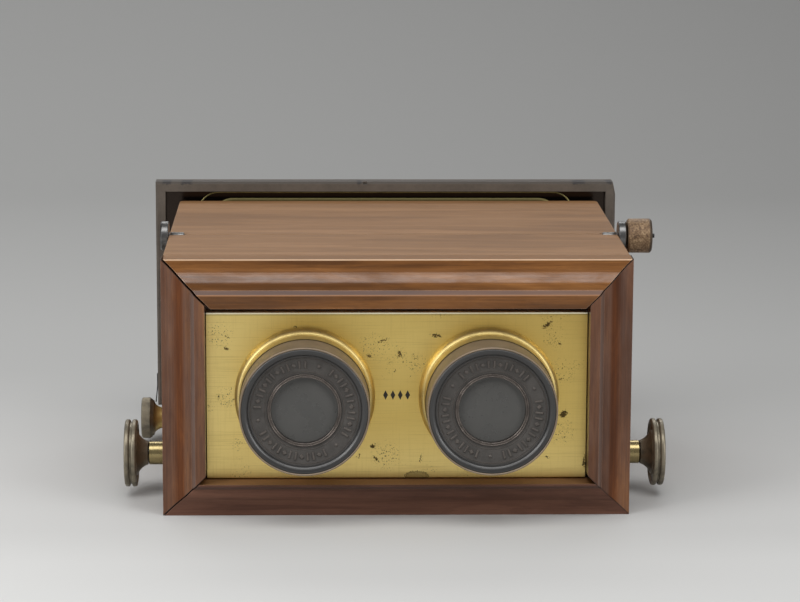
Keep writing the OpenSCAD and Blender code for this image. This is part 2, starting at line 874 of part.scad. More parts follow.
// Front lens, round on both faces
module crown_lens(side) {
    color("#6f7577") in_frame() turned_eye(side, concat(
        [for (i = [0 : arc_steps]) let (r = lens_r * i / arc_steps)
            [r, lens_front + lens_sag * max(0, 1 - pow(r / (lens_clear_r - cell_wall), 2))]],
        [for (i = [arc_steps : -1 : 0]) let (r = lens_r * i / arc_steps)
            [r, crown_rear - lens_sag * (1 - pow(r / lens_r, 2))]]
    ));
}

module crown_lens_left() {
    crown_lens(-1);
}

module crown_lens_right() {
    crown_lens(1);
}

// Rear lens, hollow in front to nest on the front lens, flat behind
module flint_lens(side) {
    color("#6a7072") in_frame() turned_eye(side, concat(
        [[0, flint_rear], [lens_r, flint_rear]],
        [for (i = [arc_steps : -1 : 0]) let (r = lens_r * i / arc_steps)
            [r, crown_rear - lens_sag * (1 - pow(r / lens_r, 2))]]
    ));
}

module flint_lens_left() {
    flint_lens(-1);
}

module flint_lens_right() {
    flint_lens(1);
}

// Brass bar behind the carriage board, with the tongue that runs in the guide
module slide_bar(side) {
    body = side > 0 ? [bar_x0, guide_x - part_gap] : [-guide_x + part_gap, -bar_x0];
    tongue = side > 0 ? [guide_x - part_gap, bar_x1] : [-bar_x1, -guide_x + part_gap];
    color("#b39143") in_frame() union() {
        block(body, [board_rear, bar_end], [bar_z, bar_z + bar_h]);
        block(tongue, [tongue_y, bar_end], [bar_z, bar_z + bar_h]);
    }
}

module slide_bar_left() {
    slide_bar(-1);
}

module slide_bar_right() {
    slide_bar(1);
}

// Toothed rack under a slide bar, with a space over the pinion shaft
module rack(side) {
    half_tooth = tooth_pitch / 4 - backlash / 4;
    lean = tan(pressure_angle);
    tip_half = half_tooth - addendum * lean;
    root_half = half_tooth + dedendum * lean;
    first = -floor(rack_teeth / 3) + 0.5;
    last = first + rack_teeth - 1;
    tip_z = rack_pitch_z - addendum;
    root_z = rack_pitch_z + dedendum;
    y0 = pinion_y + first * tooth_pitch - tooth_pitch / 2;
    y1 = pinion_y + last * tooth_pitch + tooth_pitch / 2;
    color("#b39143") in_frame() translate([side * gear_x - gear_w / 2, 0, 0]) rotate([90, 0, 90])
        linear_extrude(height = gear_w) polygon(concat(
            [[y0, bar_z], [y0, root_z]],
            [for (i = [0 : rack_teeth - 1]) let (y = pinion_y + (first + i) * tooth_pitch)
                each [[y - root_half, root_z], [y - tip_half, tip_z], [y + tip_half, tip_z],
                    [y + root_half, root_z]]],
            [[y1, root_z], [y1, bar_z]]
        ));
}

module rack_left() {
    rack(-1);
}

module rack_right() {
    rack(1);
}

module pinion_shaft() {
    end_x = half_w + bush_reach + part_gap + knob_l - shaft_cap;
    color("#8f8f8d") in_frame() bar_x([-end_x, end_x], pinion_y, pinion_z, shaft_r);
}

// Turn of a tooth flank's point at radius r, past the tooth's middle, in degrees
function involute_turn(r, base_r) = r <= base_r ? 0
    : let (t = sqrt(pow(r / base_r, 2) - 1)) t * 180 / PI - atan(t);

// Small gear with involute teeth, one of them upright
module pinion(side) {
    base_r = pitch_r * cos(pressure_angle);
    tip_r = pitch_r + addendum;
    root_r = pitch_r - dedendum;
    half_turn = (tooth_pitch / 4 - backlash / 4) / pitch_r * 180 / PI + involute_turn(pitch_r, base_r);
    steps = 4;
    flank = concat(
        [[root_r, half_turn]],
        [for (i = [0 : steps]) let (r = base_r + (tip_r - base_r) * i / steps)
            [r, half_turn - involute_turn(r, base_r)]]
    );
    rising = [for (i = [len(flank) - 1 : -1 : 0]) flank[i]];
    color("#b39143") in_frame() translate([side * gear_x, pinion_y, pinion_z]) rotate([90, 0, 90])
        difference() {
            linear_extrude(height = gear_w, center = true) polygon([
                for (k = [0 : pinion_teeth - 1]) let (a = 90 - k * 360 / pinion_teeth)
                    each concat(
                        [for (p = flank) [p[0] * cos(a + p[1]), p[0] * sin(a + p[1])]],
                        [for (p = rising) [p[0] * cos(a - p[1]), p[0] * sin(a - p[1])]]
                    )
            ]);
            cylinder(h = gear_w + 2 * cut, r = shaft_r, center = true);
        }
}

module pinion_left() {
    pinion(-1);
}

module pinion_right() {
    pinion(1);
}

// Large turned knob: a trumpet stem that flares into two beaded rims with a groove between them, the inner
// rim hollowed at its back
module focus_knob(side) {
    x0 = half_w + bush_reach + part_gap;
    x1 = x0 + knob_l;
    groove_x = x1 - knob_rim;
    groove_w = 0.7;
    inner_rim_x = groove_x - groove_w - knob_rim;
    rim_drop = 1.1;
    flare_l = inner_rim_x - x0;
    flare_r = (knob_r - rim_drop - bush_r) * knob_flare;
    flare_start = 18;
    flare_end = 90 - flare_start;
    flare_span = cos(flare_start) - sin(flare_start);
    back_r = bush_r + flare_r;
    back_lip = 1.3;
    back_depth = 0.8;
    bead = 0.8;
    hub_r = 4;
    hollow_r = knob_r - knob_rim_w;
    color("#8a7a52") in_frame() turned_x(side, pinion_y, pinion_z, concat(
        [[shaft_r, x0]],
        [for (i = [0 : arc_steps]) let (a = flare_start + (flare_end - flare_start) * i / arc_steps)
            [bush_r + flare_r * (cos(flare_start) - cos(a)) / flare_span,
                x0 + flare_l * (sin(a) - sin(flare_start)) / flare_span]],
        [
            [back_r + edge_soft, inner_rim_x + back_depth],
            [knob_r - back_lip - edge_soft, inner_rim_x + back_depth],
            [knob_r - back_lip, inner_rim_x]
        ],
        arc([knob_r - bead, inner_rim_x + bead], bead, -90, 0),
        arc([knob_r - bead, inner_rim_x + knob_rim - bead], bead, 0, 90),
        [[knob_r - rim_drop, inner_rim_x + knob_rim], [knob_r - rim_drop, groove_x]],
        arc([knob_r - bead, groove_x + bead], bead, -90, 0),
        arc([knob_r - bead, x1 - bead], bead, 0, 90),
        [
            [hollow_r, x1],
            [hollow_r - face_soft, x1 - face_soft],
            [hub_r + face_soft, x1 - face_soft - edge_soft],
            [hub_r, x1 - edge_soft],
            [0, x1],
            [0, x1 - shaft_cap],
            [shaft_r, x1 - shaft_cap]
        ]
    ));
}

module focus_knob_left() {
    focus_knob(-1);
}

module focus_knob_right() {
    focus_knob(1);
}

module clamp_rod() {
    color("#8f8f8d") in_frame()
        bar_x([-half_w - part_gap - clamp_knob_l + rod_cap, half_w], rod_y, clamp_z, rod_r);
}

// Small turned knob with a milled rim and a trumpet neck
module clamp_knob() {
    x0 = half_w + part_gap;
    x1 = x0 + clamp_knob_l;
    neck_r = rod_bush_r + rod_bush_lip;
    neck_l = 5;
    shoulder = 1.2;
    rim_x = x1 - clamp_rim;
    flare_l = rim_x - shoulder - x0 - neck_l;
    color("#a48a4a") in_frame() turned_x(-1, rod_y, clamp_z, concat(
        [[rod_r, x0], [neck_r, x0]],
        [for (i = [0 : arc_steps]) let (a = 90 * i / arc_steps)
            [neck_r + (clamp_knob_r - shoulder - neck_r) * (1 - cos(a)), x0 + neck_l + flare_l * sin(a)]],
        [
            [clamp_knob_r - edge_soft, rim_x],
            [clamp_knob_r, rim_x + edge_soft],
            [clamp_knob_r, x1 - edge_soft],
            [clamp_knob_r - edge_soft, x1],
            [0, x1],
            [0, x1 - rod_cap],
            [rod_r, x1 - rod_cap]
        ]
    ));
}

// Two sprung fingers on the rod that press the picture back against its rear rails
module clamp_fingers() {
    reach = slot_y0 - finger_set - rod_y;
    bend_c = [rod_y + reach, clamp_z + finger_bead_r];
    bend_r = reach - rod_r;
    bend_end = 92;
    bend_start = 175;
    bead_y = bend_c[0] - finger_set;
    color("#c2a04d") in_frame() for (x = [-finger_x, finger_x])
        translate([x - finger_w / 2, 0, 0]) difference() {
            union() {
                bar_x([0, finger_w], rod_y, clamp_z, finger_hub_r);
                rotate([90, 0, 90]) linear_extrude(height = finger_w) polygon(concat(
                    arc(bend_c, bend_r, bend_start, bend_end),
                    arc(bend_c, bend_r + finger_t, bend_end, bend_start)
                ));
                bar_x([0, finger_w], bead_y, bend_c[1] + bend_r + finger_t / 2, finger_bead_r);
            }
            bar_x([-cut, finger_w + cut], rod_y, clamp_z, rod_r);
        }
}

// Outline of the reflector between two depths, worn off at its upper right corner
module reflector_outline(y) {
    x0 = frame_shift - frame_w / 2;
    x1 = frame_shift + frame_w / 2;
    z1 = frame_z + frame_h;
    translate([0, y[1], 0]) rotate([90, 0, 0]) linear_extrude(height = y[1] - y[0])
        polygon([[x0, frame_z], [x1, frame_z], [x1, z1 - worn_h], [x1 - worn_w, z1], [x0, z1]]);
}

// Dark frame, bevelled round its front, with a rebate behind its rim and a catch notch in its top edge
module reflector_frame() {
    x0 = frame_shift - frame_w / 2;
    x1 = frame_shift + frame_w / 2;
    z1 = frame_z + frame_h;
    b = frame_bevel;
    notch_w = 1.6;
    notch_back = 2;
    notch_drop = 1.2;
    color("#5c5147") in_frame() difference() {
        intersection() {
            reflector_outline([frame_y, frame_rear]);
            translate([x0, 0, 0]) rotate([90, 0, 90]) linear_extrude(height = frame_w) polygon([
                [frame_y, frame_z + b],
                [frame_y + b, frame_z],
                [frame_rear, frame_z],
                [frame_rear, z1],
                [frame_y + b, z1],
                [frame_y, z1 - b]
            ]);
            linear_extrude(height = z1) polygon([
                [x0 + b, frame_y],
                [x1 - b, frame_y],
                [x1, frame_y + b],
                [x1, frame_rear],
                [x0, frame_rear],
                [x0, frame_y + b]
            ]);
        }
        block([x0 + frame_rim, x1 - frame_rim], [frame_y - cut, frame_rear + cut],
            [frame_z + frame_rim, z1 - frame_rim]);
        block([notch_x - notch_w / 2, notch_x + notch_w / 2], [frame_y - cut, frame_y + notch_back],
            [z1 - notch_drop, z1 + cut]);
    }
}

module reflector_mirror() {
    x0 = frame_shift - frame_w / 2 + frame_rim;
    x1 = frame_shift + frame_w / 2 - frame_rim;
    color("#1b1918") in_frame()
        block([x0, x1], [mirror_y, frame_rear], [frame_z + frame_rim, frame_z + frame_h - frame_rim]);
}

module reflector_back() {
    color("#4b4038") in_frame() reflector_outline([frame_rear, frame_rear + back_t]);
}

// Leaves under the reflector frame, each with its hinge's middle knuckle
module frame_hinge_leaves() {
    seg = knuckle_seg + part_gap;
    color("#a8863a") in_frame() for (x = [-hinge_x, hinge_x]) {
        x0 = x + frame_shift - hinge_l / 2;
        difference() {
            union() {
                block([x0, x0 + hinge_l], [knuckle_y + knuckle_r + part_gap, frame_rear],
                    [frame_z - leaf_t, frame_z]);
                block([x0 + seg, x0 + hinge_l - seg], [knuckle_y, frame_rear], [frame_z - leaf_t, frame_z]);
                bar_x([x0 + seg, x0 + hinge_l - seg], knuckle_y, knuckle_z, knuckle_r);
            }
            bar_x([x0, x0 + hinge_l], knuckle_y, knuckle_z, hinge_pin_r + run_gap);
        }
    }
}

// Thin steel leaf that stands off the frame's left edge at its foot
module side_spring() {
    edge = frame_shift - frame_w / 2;
    spring_t = 0.4;
    spring_w = 2;
    stand_off = 0.8;
    foot_z = frame_z + spring_foot;
    bend_z = frame_z + spring_bend;
    top_z = frame_z + spring_top;
    color("#26241f") in_frame() translate([0, frame_y + frame_t / 2, 0]) rotate([90, 0, 0])
        linear_extrude(height = spring_w) polygon([
            [edge, top_z], [edge - spring_t, top_z],
            [edge - spring_t, bend_z], [edge - spring_t - stand_off, foot_z],
            [edge - stand_off, foot_z], [edge, bend_z]
        ]);
}

base_board();
side_panel_left();
side_panel_right();
rear_top_board();
front_rail_left();
front_rail_right();
front_rail_bottom();
partition();
guide_left();
guide_right();
pinion_bush_left();
pinion_bush_right();
lid_boss_left();
lid_boss_right();
picture_rail_bottom();
picture_rail_top();
ground_glass();
rear_window();
rod_bushes();
case_hinge_leaves();
hinge_pins();
lid_board();
front_rail_top();
lid_mirror();
mirror_clips();
lid_pin_left();
lid_pin_right();
lid_knob();
lens_plate();
carriage_board();
flange_left();
flange_right();
eyecup_left();
eyecup_right();
eye_dish_left();
eye_dish_right();
lens_ring_left();
lens_ring_right();
crown_lens_left();
crown_lens_right();
flint_lens_left();
flint_lens_right();
slide_bar_left();
slide_bar_right();
rack_left();
rack_right();
pinion_shaft();
pinion_left();
pinion_right();
focus_knob_left();
focus_knob_right();
clamp_rod();
clamp_knob();
clamp_fingers();
reflector_frame();
reflector_mirror();
reflector_back();
frame_hinge_leaves();
side_spring();
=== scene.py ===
import json
import math
import random

import bmesh
import bpy
from mathutils import Matrix, Vector


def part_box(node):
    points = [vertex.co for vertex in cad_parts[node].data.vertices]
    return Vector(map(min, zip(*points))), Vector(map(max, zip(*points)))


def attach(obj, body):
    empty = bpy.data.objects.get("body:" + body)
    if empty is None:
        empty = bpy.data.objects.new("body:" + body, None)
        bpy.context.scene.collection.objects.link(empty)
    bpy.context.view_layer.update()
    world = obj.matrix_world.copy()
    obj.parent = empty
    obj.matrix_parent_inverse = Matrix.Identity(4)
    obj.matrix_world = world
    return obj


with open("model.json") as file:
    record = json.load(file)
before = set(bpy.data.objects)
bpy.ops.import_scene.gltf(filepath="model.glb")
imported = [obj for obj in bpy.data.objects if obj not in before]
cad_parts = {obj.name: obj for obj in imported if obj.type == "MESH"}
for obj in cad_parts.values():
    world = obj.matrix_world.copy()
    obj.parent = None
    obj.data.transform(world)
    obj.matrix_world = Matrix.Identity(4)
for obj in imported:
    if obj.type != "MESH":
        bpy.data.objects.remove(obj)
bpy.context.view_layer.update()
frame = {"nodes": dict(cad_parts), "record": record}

MM = 0.001
SIDES = {"left": -1, "right": 1}


# Lengths taken from the frame

def middle(node):
    low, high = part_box(node)
    return (low + high) / 2


BASE_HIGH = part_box("base_board")[1]
PLATE_LOW, PLATE_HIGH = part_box("lens_plate")
FRAME_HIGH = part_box("reflector_frame")[1]
MIRROR_LOW, MIRROR_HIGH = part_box("reflector_mirror")
CLAMP_LOW, CLAMP_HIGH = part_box("clamp_knob")
FLANGE_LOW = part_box("flange_left")[0]
RAIL_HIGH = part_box("front_rail_right")[1]
KNOB_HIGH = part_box("lid_knob")[1]
RING_LOW, RING_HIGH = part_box("lens_ring_right")
RING_R = (RING_HIGH.x - RING_LOW.x) / 2
EYE_CENTRES = {side: middle("crown_lens_" + side) for side in SIDES}
DISH_LOW, DISH_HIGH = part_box("eye_dish_right")
# Width of the dish's lip, and the radius of its foot
DISH_LIP = 2.75 * MM
DISH_LIP_R = (DISH_HIGH.x - DISH_LOW.x) / 2 - DISH_LIP


# Material nodes

ALONG = {
    "x": lambda along, across: (along, across, across),
    "y": lambda along, across: (across, along, across),
    "z": lambda along, across: (across, across, along),
}


class Finish:
    """One material's nodes, with a short call for each kind that the finishes share."""

    def __init__(self, name):
        self.material = bpy.data.materials.new(name)
        self.material.use_nodes = True
        self.tree = self.material.node_tree
        self.tree.nodes.clear()
        self.shader = self.add("ShaderNodeBsdfPrincipled")
        output = self.add("ShaderNodeOutputMaterial")
        self.tree.links.new(self.shader.outputs[0], output.inputs[0])
        self.coords = self.add("ShaderNodeTexCoord").outputs["Object"]
        self.edge_normal = None

    def add(self, kind, **values):
        node = self.tree.nodes.new(kind)
        for key, value in values.items():
            setattr(node, key, value)
        return node

    def feed(self, socket, value):
        if isinstance(value, bpy.types.NodeSocket):
            self.tree.links.new(value, socket)
        elif socket.type == "RGBA" and len(value) == 3:
            socket.default_value = (*value, 1)
        else:
            socket.default_value = value

    def set(self, **values):
        for key, value in values.items():
            self.feed(self.shader.inputs[key.replace("_", " ")], value)

    def stretched(self, scale, shift=(0, 0, 0)):
        node = self.add("ShaderNodeMapping")
        self.feed(node.inputs["Vector"], self.coords)
        self.feed(node.inputs["Scale"], scale)
        self.feed(node.inputs["Location"], shift)
        return node.outputs[0]

    def noise(self, vector, scale=1.0, detail=4.0, rough=0.5, twist=0.0):
        node = self.add("ShaderNodeTexNoise")
        self.feed(node.inputs["Vector"], vector)
        self.feed(node.inputs["Scale"], scale)
        self.feed(node.inputs["Detail"], detail)
        self.feed(node.inputs["Roughness"], rough)
        self.feed(node.inputs["Distortion"], twist)
        return node.outputs["Fac"]

    def grain(self, layer, axis, shift):
        """Noise drawn out along one axis, from a row of WOOD_LAYERS."""
        along, across, detail, rough, twist = WOOD_LAYERS[layer]
        return self.noise(self.stretched(ALONG[axis](along, across), shift), 1, detail, rough, twist)

    def ramp(self, fac, stops):
        node = self.add("ShaderNodeValToRGB")
        self.feed(node.inputs["Fac"], fac)
        elements = node.color_ramp.elements
        while len(elements) < len(stops):
            elements.new(0.5)
        for element, (place, colour) in zip(elements, stops):
            element.position = place
            element.color = (*colour, 1)
        return node.outputs["Color"]

    def step(self, value, low, high):
        """0 below low, 1 above high, and smooth in between."""
        node = self.add("ShaderNodeMapRange", interpolation_type="SMOOTHSTEP")
        self.feed(node.inputs["Value"], value)
        self.feed(node.inputs["From Min"], low)
        self.feed(node.inputs["From Max"], high)
        return node.outputs["Result"]

    def between(self, value, low, high):
        """Spreads 0 to 1 over low to high."""
        node = self.add("ShaderNodeMapRange")
        self.feed(node.inputs["Value"], value)
        self.feed(node.inputs["To Min"], low)
        self.feed(node.inputs["To Max"], high)
        return node.outputs["Result"]

    def mix(self, fac, first, second, blend="MIX"):
        node = self.add("ShaderNodeMix", data_type="RGBA", blend_type=blend)
        self.feed(node.inputs["Factor"], fac)
        self.feed(node.inputs[6], first)
        self.feed(node.inputs[7], second)
        return node.outputs[2]

    def tint(self, base, mask, amount, colour, blend="MIX"):
        """Lays a colour over the base where the mask is high."""
        return self.mix(self.times(mask, amount), base, colour, blend)

    def math(self, operation, first, second=0.0):
        node = self.add("ShaderNodeMath", operation=operation)
        self.feed(node.inputs[0], first)
        self.feed(node.inputs[1], second)
        return node.outputs[0]

    def times(self, first, second):
        return self.math("MULTIPLY", first, second)

    def plus(self, first, second):
        return self.math("ADD", first, second)

    def minus(self, first, second):
        return self.math("SUBTRACT", first, second)

    def larger(self, first, second):
        return self.math("MAXIMUM", first, second)

    def amount(self, value):
        return self.math("ABSOLUTE", value)

    def length(self, first, second):
        """Length of the arrow whose two parts are given."""
        return self.math("SQRT", self.plus(self.times(first, first), self.times(second, second)))

    def inverse(self, value):
        return self.minus(1.0, value)

    def blend(self, *parts):
        """Sum of values, each with its weight."""
        total = self.times(*parts[0])
        for value, weight in parts[1:]:
            total = self.plus(total, self.times(value, weight))
        return total

    def near(self, value, centre, inner, outer):
        """1 within inner of the centre, falling to 0 at outer."""
        return self.inverse(self.step(self.amount(self.minus(value, centre)), inner, outer))

    def within(self, value, rise, fall):
        """1 between the two ranges in which it rises and falls."""
        return self.times(self.step(value, *rise), self.inverse(self.step(value, *fall)))

    def axes(self, vector=None):
        node = self.add("ShaderNodeSeparateXYZ")
        self.feed(node.inputs[0], vector or self.coords)
        return node.outputs

    def normal(self):
        return self.axes(self.add("ShaderNodeNewGeometry").outputs["Normal"])

    def facing_up(self, low, high):
        return self.step(self.normal()[2], low, high)

    def away(self, x, z, first=None):
        """Distance from a line along Y through x and z."""
        across, _, height = self.axes()
        spot = self.add("ShaderNodeCombineXYZ")
        self.feed(spot.inputs[0], first or across)
        self.feed(spot.inputs[1], height)
        node = self.add("ShaderNodeVectorMath", operation="DISTANCE")
        self.feed(node.inputs[0], spot.outputs[0])
        self.feed(node.inputs[1], (x, z, 0))
        return node.outputs["Value"]

    def rounded(self, radius):
        """Softens the edges' normals and returns how near an edge each point is."""
        bevel = self.add("ShaderNodeBevel", samples=4)
        self.feed(bevel.inputs["Radius"], radius)
        self.edge_normal = bevel.outputs[0]
        geometry = self.add("ShaderNodeNewGeometry")
        dot = self.add("ShaderNodeVectorMath", operation="DOT_PRODUCT")
        self.feed(dot.inputs[0], bevel.outputs[0])
        self.feed(dot.inputs[1], geometry.outputs["Normal"])
        return self.inverse(dot.outputs["Value"])

    def bump(self, height, distance, strength=0.5):
        node = self.add("ShaderNodeBump")
        self.feed(node.inputs["Height"], height)
        self.feed(node.inputs["Distance"], distance)
        self.feed(node.inputs["Strength"], strength)
        if self.edge_normal:
            self.feed(node.inputs["Normal"], self.edge_normal)
        self.feed(self.shader.inputs["Normal"], node.outputs[0])
        return self


# Wood

# Layers of the figure: waves per metre along and across the grain, detail, roughness and twist
WOOD_LAYERS = {
    "broad": (6, 62, 3, 0.5, 0.9),
    "flame": (34, 190, 4, 0.6, 1.1),
    "fibre": (26, 1300, 4, 0.6, 0.2),
    "pore": (170, 2700, 2, 0.5, 0.0),
    "sheen": (75, 230, 3, 0.6, 0.8),
}
# Shares of broad figure, flames and fibres in the wood's tone
TONE_SHARES = (0.55, 0.23, 0.22)
# Growth lines: rounds of the sine over the figure's range, and the part of each round that is dark
GROWTH_ROUNDS = 46.0
GROWTH_DARK = (0.55, 1.0)
GROWTH_FLAME = 0.12
PORE_RANGE = (0.61, 0.7)
PORE_DEPTH = 0.4
WOOD_EDGE = 0.45 * MM
WOOD_EDGE_RANGE = (0.02, 0.16)
WOOD_RELIEF = 0.05 * MM

# Lean of the moulding's faces: the larger of their normal's parts across and up. A kind of face has a range
# in which it begins and a range in which it ends.
FLANK_LEAN = ((0.3, 0.62), (0.68, 0.76))
LEDGE_LEAN = ((0.70, 0.78), (0.9, 0.97))
# Upward parts of the normals: of the level faces, and of those that take the varnish's full shine
LEVEL = (0.9, 0.98)
GLOSSY_LEAN = (0.36, 0.52)
# Painted shade: a darker, more orange tone multiplied onto the moulding's leaning flanks
FLANK_SHADE = (0.80, 0.52, 0.22)
# Half width of a mitre's dark line, and of the painted highlight along the lid's step, with their soft edges
MITRE_LINE = (0.12 * MM, 0.42 * MM)
STEP_LINE = (0.12 * MM, 0.4 * MM)
STEP_DROP = 13.2 * MM
# Drops below the top between which the upper arris begins to be paled, partly as wear and partly as painted
# highlight
ARRIS_DROPS = (0.62 * MM, 0.42 * MM)
JOINT_DARK = (0.012, 0.006, 0.004)
ARRIS_WEAR_AND_HIGHLIGHT = (0.68, 0.47, 0.31)
STEP_HIGHLIGHT = (0.34, 0.17, 0.085)


def wear_and_highlight_arrises(f, colour, flame, height):
    """Pales the moulding's upper arris, partly as wear and partly as painted highlight, and paints a
    highlight along the edge of its step.
    """
    starts, ends = (RAIL_HIGH.z - drop for drop in ARRIS_DROPS)
    arris = f.times(f.inverse(f.facing_up(*LEVEL)), f.step(height, starts, ends))
    colour = f.mix(f.times(arris, f.between(flame, 0.5, 1.2)), colour, ARRIS_WEAR_AND_HIGHLIGHT)
    # Painted highlight along the step's edge
    edge = f.near(f.minus(RAIL_HIGH.z, height), STEP_DROP, *STEP_LINE)
    return f.tint(colour, edge, 0.7, STEP_HIGHLIGHT)


def tint_moulding(f, colour, flame, lean, flank, flank_shade_depth, ledge_reflection, arrises):
    """Paints shade on a moulding's flanks, a reflection on its ledges and light on its level faces, all by
    the lean of its faces, and draws the dark lines of its mitres.
    """
    if flank_shade_depth:
        # Painted shade on the flanks, by their lean
        colour = f.tint(colour, flank, flank_shade_depth, FLANK_SHADE, "MULTIPLY")
    # Painted reflection of the light overhead on the step's sloping ledge
    colour = f.tint(colour, f.within(lean, *LEDGE_LEAN), 0.6, ledge_reflection)
    # Painted light: level faces take the paler tone of the lit top boards
    colour = f.tint(colour, f.facing_up(*LEVEL), 0.7, WALNUT_LIT_TOP["mid"])
    across, _, height = f.axes()
    if arrises:
        colour = wear_and_highlight_arrises(f, colour, flame, height)
    fold = f.math("MINIMUM", height, f.minus(RAIL_HIGH.z, height))
    joint = f.near(f.plus(f.amount(across), fold), RAIL_HIGH.x, *MITRE_LINE)
    return f.tint(colour, joint, 0.8, JOINT_DARK)


def gloss_moulding(f, grain, shift, coat, flank, flank_shade_depth, arrises):
    """Varnish that shines in patches, and not at all on the level faces and the flanks that carry painted
    shade.
    """
    dry = f.facing_up(*LEVEL)
    if flank_shade_depth:
        dry = f.larger(dry, flank)
    sheen = f.between(f.grain("sheen", grain, shift), -0.35 * coat, 2.2 * coat)
    if arrises:
        sheen = f.times(sheen, f.between(f.facing_up(*GLOSSY_LEAN), 0.35, 0.9))
    f.set(Coat_Weight=f.times(f.inverse(dry), sheen))


def wood(name, dark, mid, light, wear_colour, grain="x", rough=0.34, coat=0.25, shift=(0, 0, 0), lines=0.22,
         wear=0.55, mitred=False, flank_shade_depth=0.0, ledge_reflection=(0.110, 0.072, 0.058), arrises=False):
    """Polished walnut: flamed figure, growth lines, fine fibres and short dark pores along the grain."""
    f = Finish(name)
    edge = f.rounded(WOOD_EDGE)
    broad = f.grain("broad", grain, shift)
    flame = f.grain("flame", grain, shift)
    fibre = f.grain("fibre", grain, shift)
    pore = f.grain("pore", grain, shift)
    tone = f.blend(*zip((broad, flame, fibre), TONE_SHARES))
    colour = f.ramp(tone, [(0.40, dark), (0.495, mid), (0.60, light)])
    growth = f.math("SINE", f.times(f.plus(broad, f.times(flame, GROWTH_FLAME)), GROWTH_ROUNDS))
    colour = f.tint(colour, f.step(growth, *GROWTH_DARK), lines, dark)
    pores = f.step(pore, *PORE_RANGE)
    colour = f.tint(colour, pores, PORE_DEPTH, dark)
    worn = f.times(f.step(edge, *WOOD_EDGE_RANGE), f.between(flame, wear * 0.55, wear * 1.3))
    colour = f.mix(worn, colour, wear_colour)
    f.set(Coat_Weight=coat, Coat_Roughness=0.16, Specular_IOR_Level=0.15)
    if mitred:
        lean_x, _, lean_z = f.normal()
        lean = f.larger(f.amount(lean_x), f.amount(lean_z))
        flank = f.within(lean, *FLANK_LEAN)
        colour = tint_moulding(f, colour, flame, lean, flank, flank_shade_depth, ledge_reflection, arrises)
        if coat:
            gloss_moulding(f, grain, shift, coat, flank, flank_shade_depth, arrises)
    f.set(Base_Color=colour, Roughness=f.between(fibre, rough - 0.06, rough + 0.1))
    return f.bump(f.minus(f.times(fibre, 0.6), f.times(pores, 0.5)), WOOD_RELIEF).material


# Metal

# Waves per metre of the tool marks on each axis, by the axis that the piece was turned about
TOOL_MARKS = {"x": (5200, 90, 90), "y": (90, 5200, 90), "none": (900, 900, 900)}
METAL_EDGE = 0.15 * MM
DIRT = (0.045, 0.032, 0.018)


def metal(name, colour, dull, rough, blotch, turned="x", line_depth=0.01, tarnish=0.6, edge_pale=0.3,
          metallic=1.0, neck=None, dirt=None):
    """Turned metal: fine tool lines, cloudy tarnish and paler edges. A neck goes over into clean brass along
    X, and dirt gathers in front of the depths given."""
    f = Finish(name)
    edge = f.rounded(METAL_EDGE)
    tool = f.noise(f.stretched(TOOL_MARKS[turned]), 1, 3, 0.6)
    cloud = f.noise(f.coords, blotch, 5, 0.6, 0.4)
    speck = f.noise(f.coords, blotch * 9, 3, 0.6)
    dulled = f.times(f.step(cloud, 0.42, 0.68), tarnish)
    shade = f.mix(dulled, colour, dull)
    shade = f.tint(shade, f.step(speck, 0.6, 0.72), tarnish, dull)
    pale = tuple(min(1, c * 1.25 + 0.03) for c in colour)
    shade = f.tint(shade, f.step(edge, 0.05, 0.5), edge_pale, pale)
    across, depth, _ = f.axes()
    if neck:
        shade = f.mix(f.step(across, *neck), shade, BRASS)
    if dirt:
        shade = f.tint(shade, f.inverse(f.step(depth, *dirt)), 0.85, DIRT)
    f.set(Base_Color=shade, Metallic=metallic)
    f.set(Roughness=f.plus(f.between(tool, rough - 0.05, rough + 0.07), f.times(dulled, 0.2)))
    return f.bump(tool, line_depth * MM).material


# The lens plate's brass

# Blots: places seen from the front, half widths, half heights and slants, in millimetres and degrees
BLOTS = [
    (-66.6, 66.5, 0.7, 0.6, 0), (-69.9, 47.1, 0.4, 0.4, 0), (-11.0, 63.7, 1.1, 0.6, -20),
    (-9.4, 27.3, 0.9, 1.1, 10), (-8.5, 22.3, 0.7, 1.2, 25), (-15.1, 23.4, 0.6, 0.5, -30),
    (-39.9, 75.2, 0.8, 0.5, 0), (-5.5, 69.8, 2.4, 0.35, 15), (1.0, 64.3, 0.8, 1.4, 20),
    (58.9, 76.2, 2.2, 0.8, 38), (15.4, 71.7, 2.4, 0.6, -8), (63.8, 68.4, 0.9, 0.45, -12),
    (64.2, 54.2, 0.6, 0.6, 0), (65.8, 40.1, 2.0, 1.3, 30), (59.6, 22.6, 0.7, 0.5, 0),
    (9.6, 22.1, 0.4, 2.2, -8), (74.3, 21.1, 0.5, 2.6, 0), (-0.8, 57.6, 0.4, 0.4, 0),
    (26.0, 12.9, 0.5, 0.4, 0), (5.2, 55.2, 0.4, 0.4, 0),
]
# Fields where fine pits gather: places and radii in millimetres
PIT_FIELDS = [
    (-69.2, 72.0, 6.5), (-66.5, 47.5, 6.0), (-4.0, 23.5, 7.5), (-7.5, 66.5, 6.5), (64.5, 57.0, 7.0),
    (65.0, 33.0, 7.0), (7.5, 61.0, 5.5), (-62.5, 28.0, 3.5),
]
PIT_FIELD_CORE = 0.35
# Place, half width and half height of the tide mark
TIDE_PLACE = (8.0 * MM, 14.6 * MM)
TIDE_SIZE = (4.8 * MM, 2.4 * MM)
# Noises: waves per metre, detail, roughness and twist
FIELD_NOISE = (55, 2, 0.5, 0.0)
FLECK_NOISE = (1500, 2, 0.5, 0.6)
WORM_NOISE = (330, 2, 0.5, 2.2)
BREAK_NOISE = (260, 3, 0.6, 0.0)
RAGGED_NOISE = (1500, 3, 0.7, 0.0)
DRIFT_NOISE = (1000, 3, 0.65, 0.0)
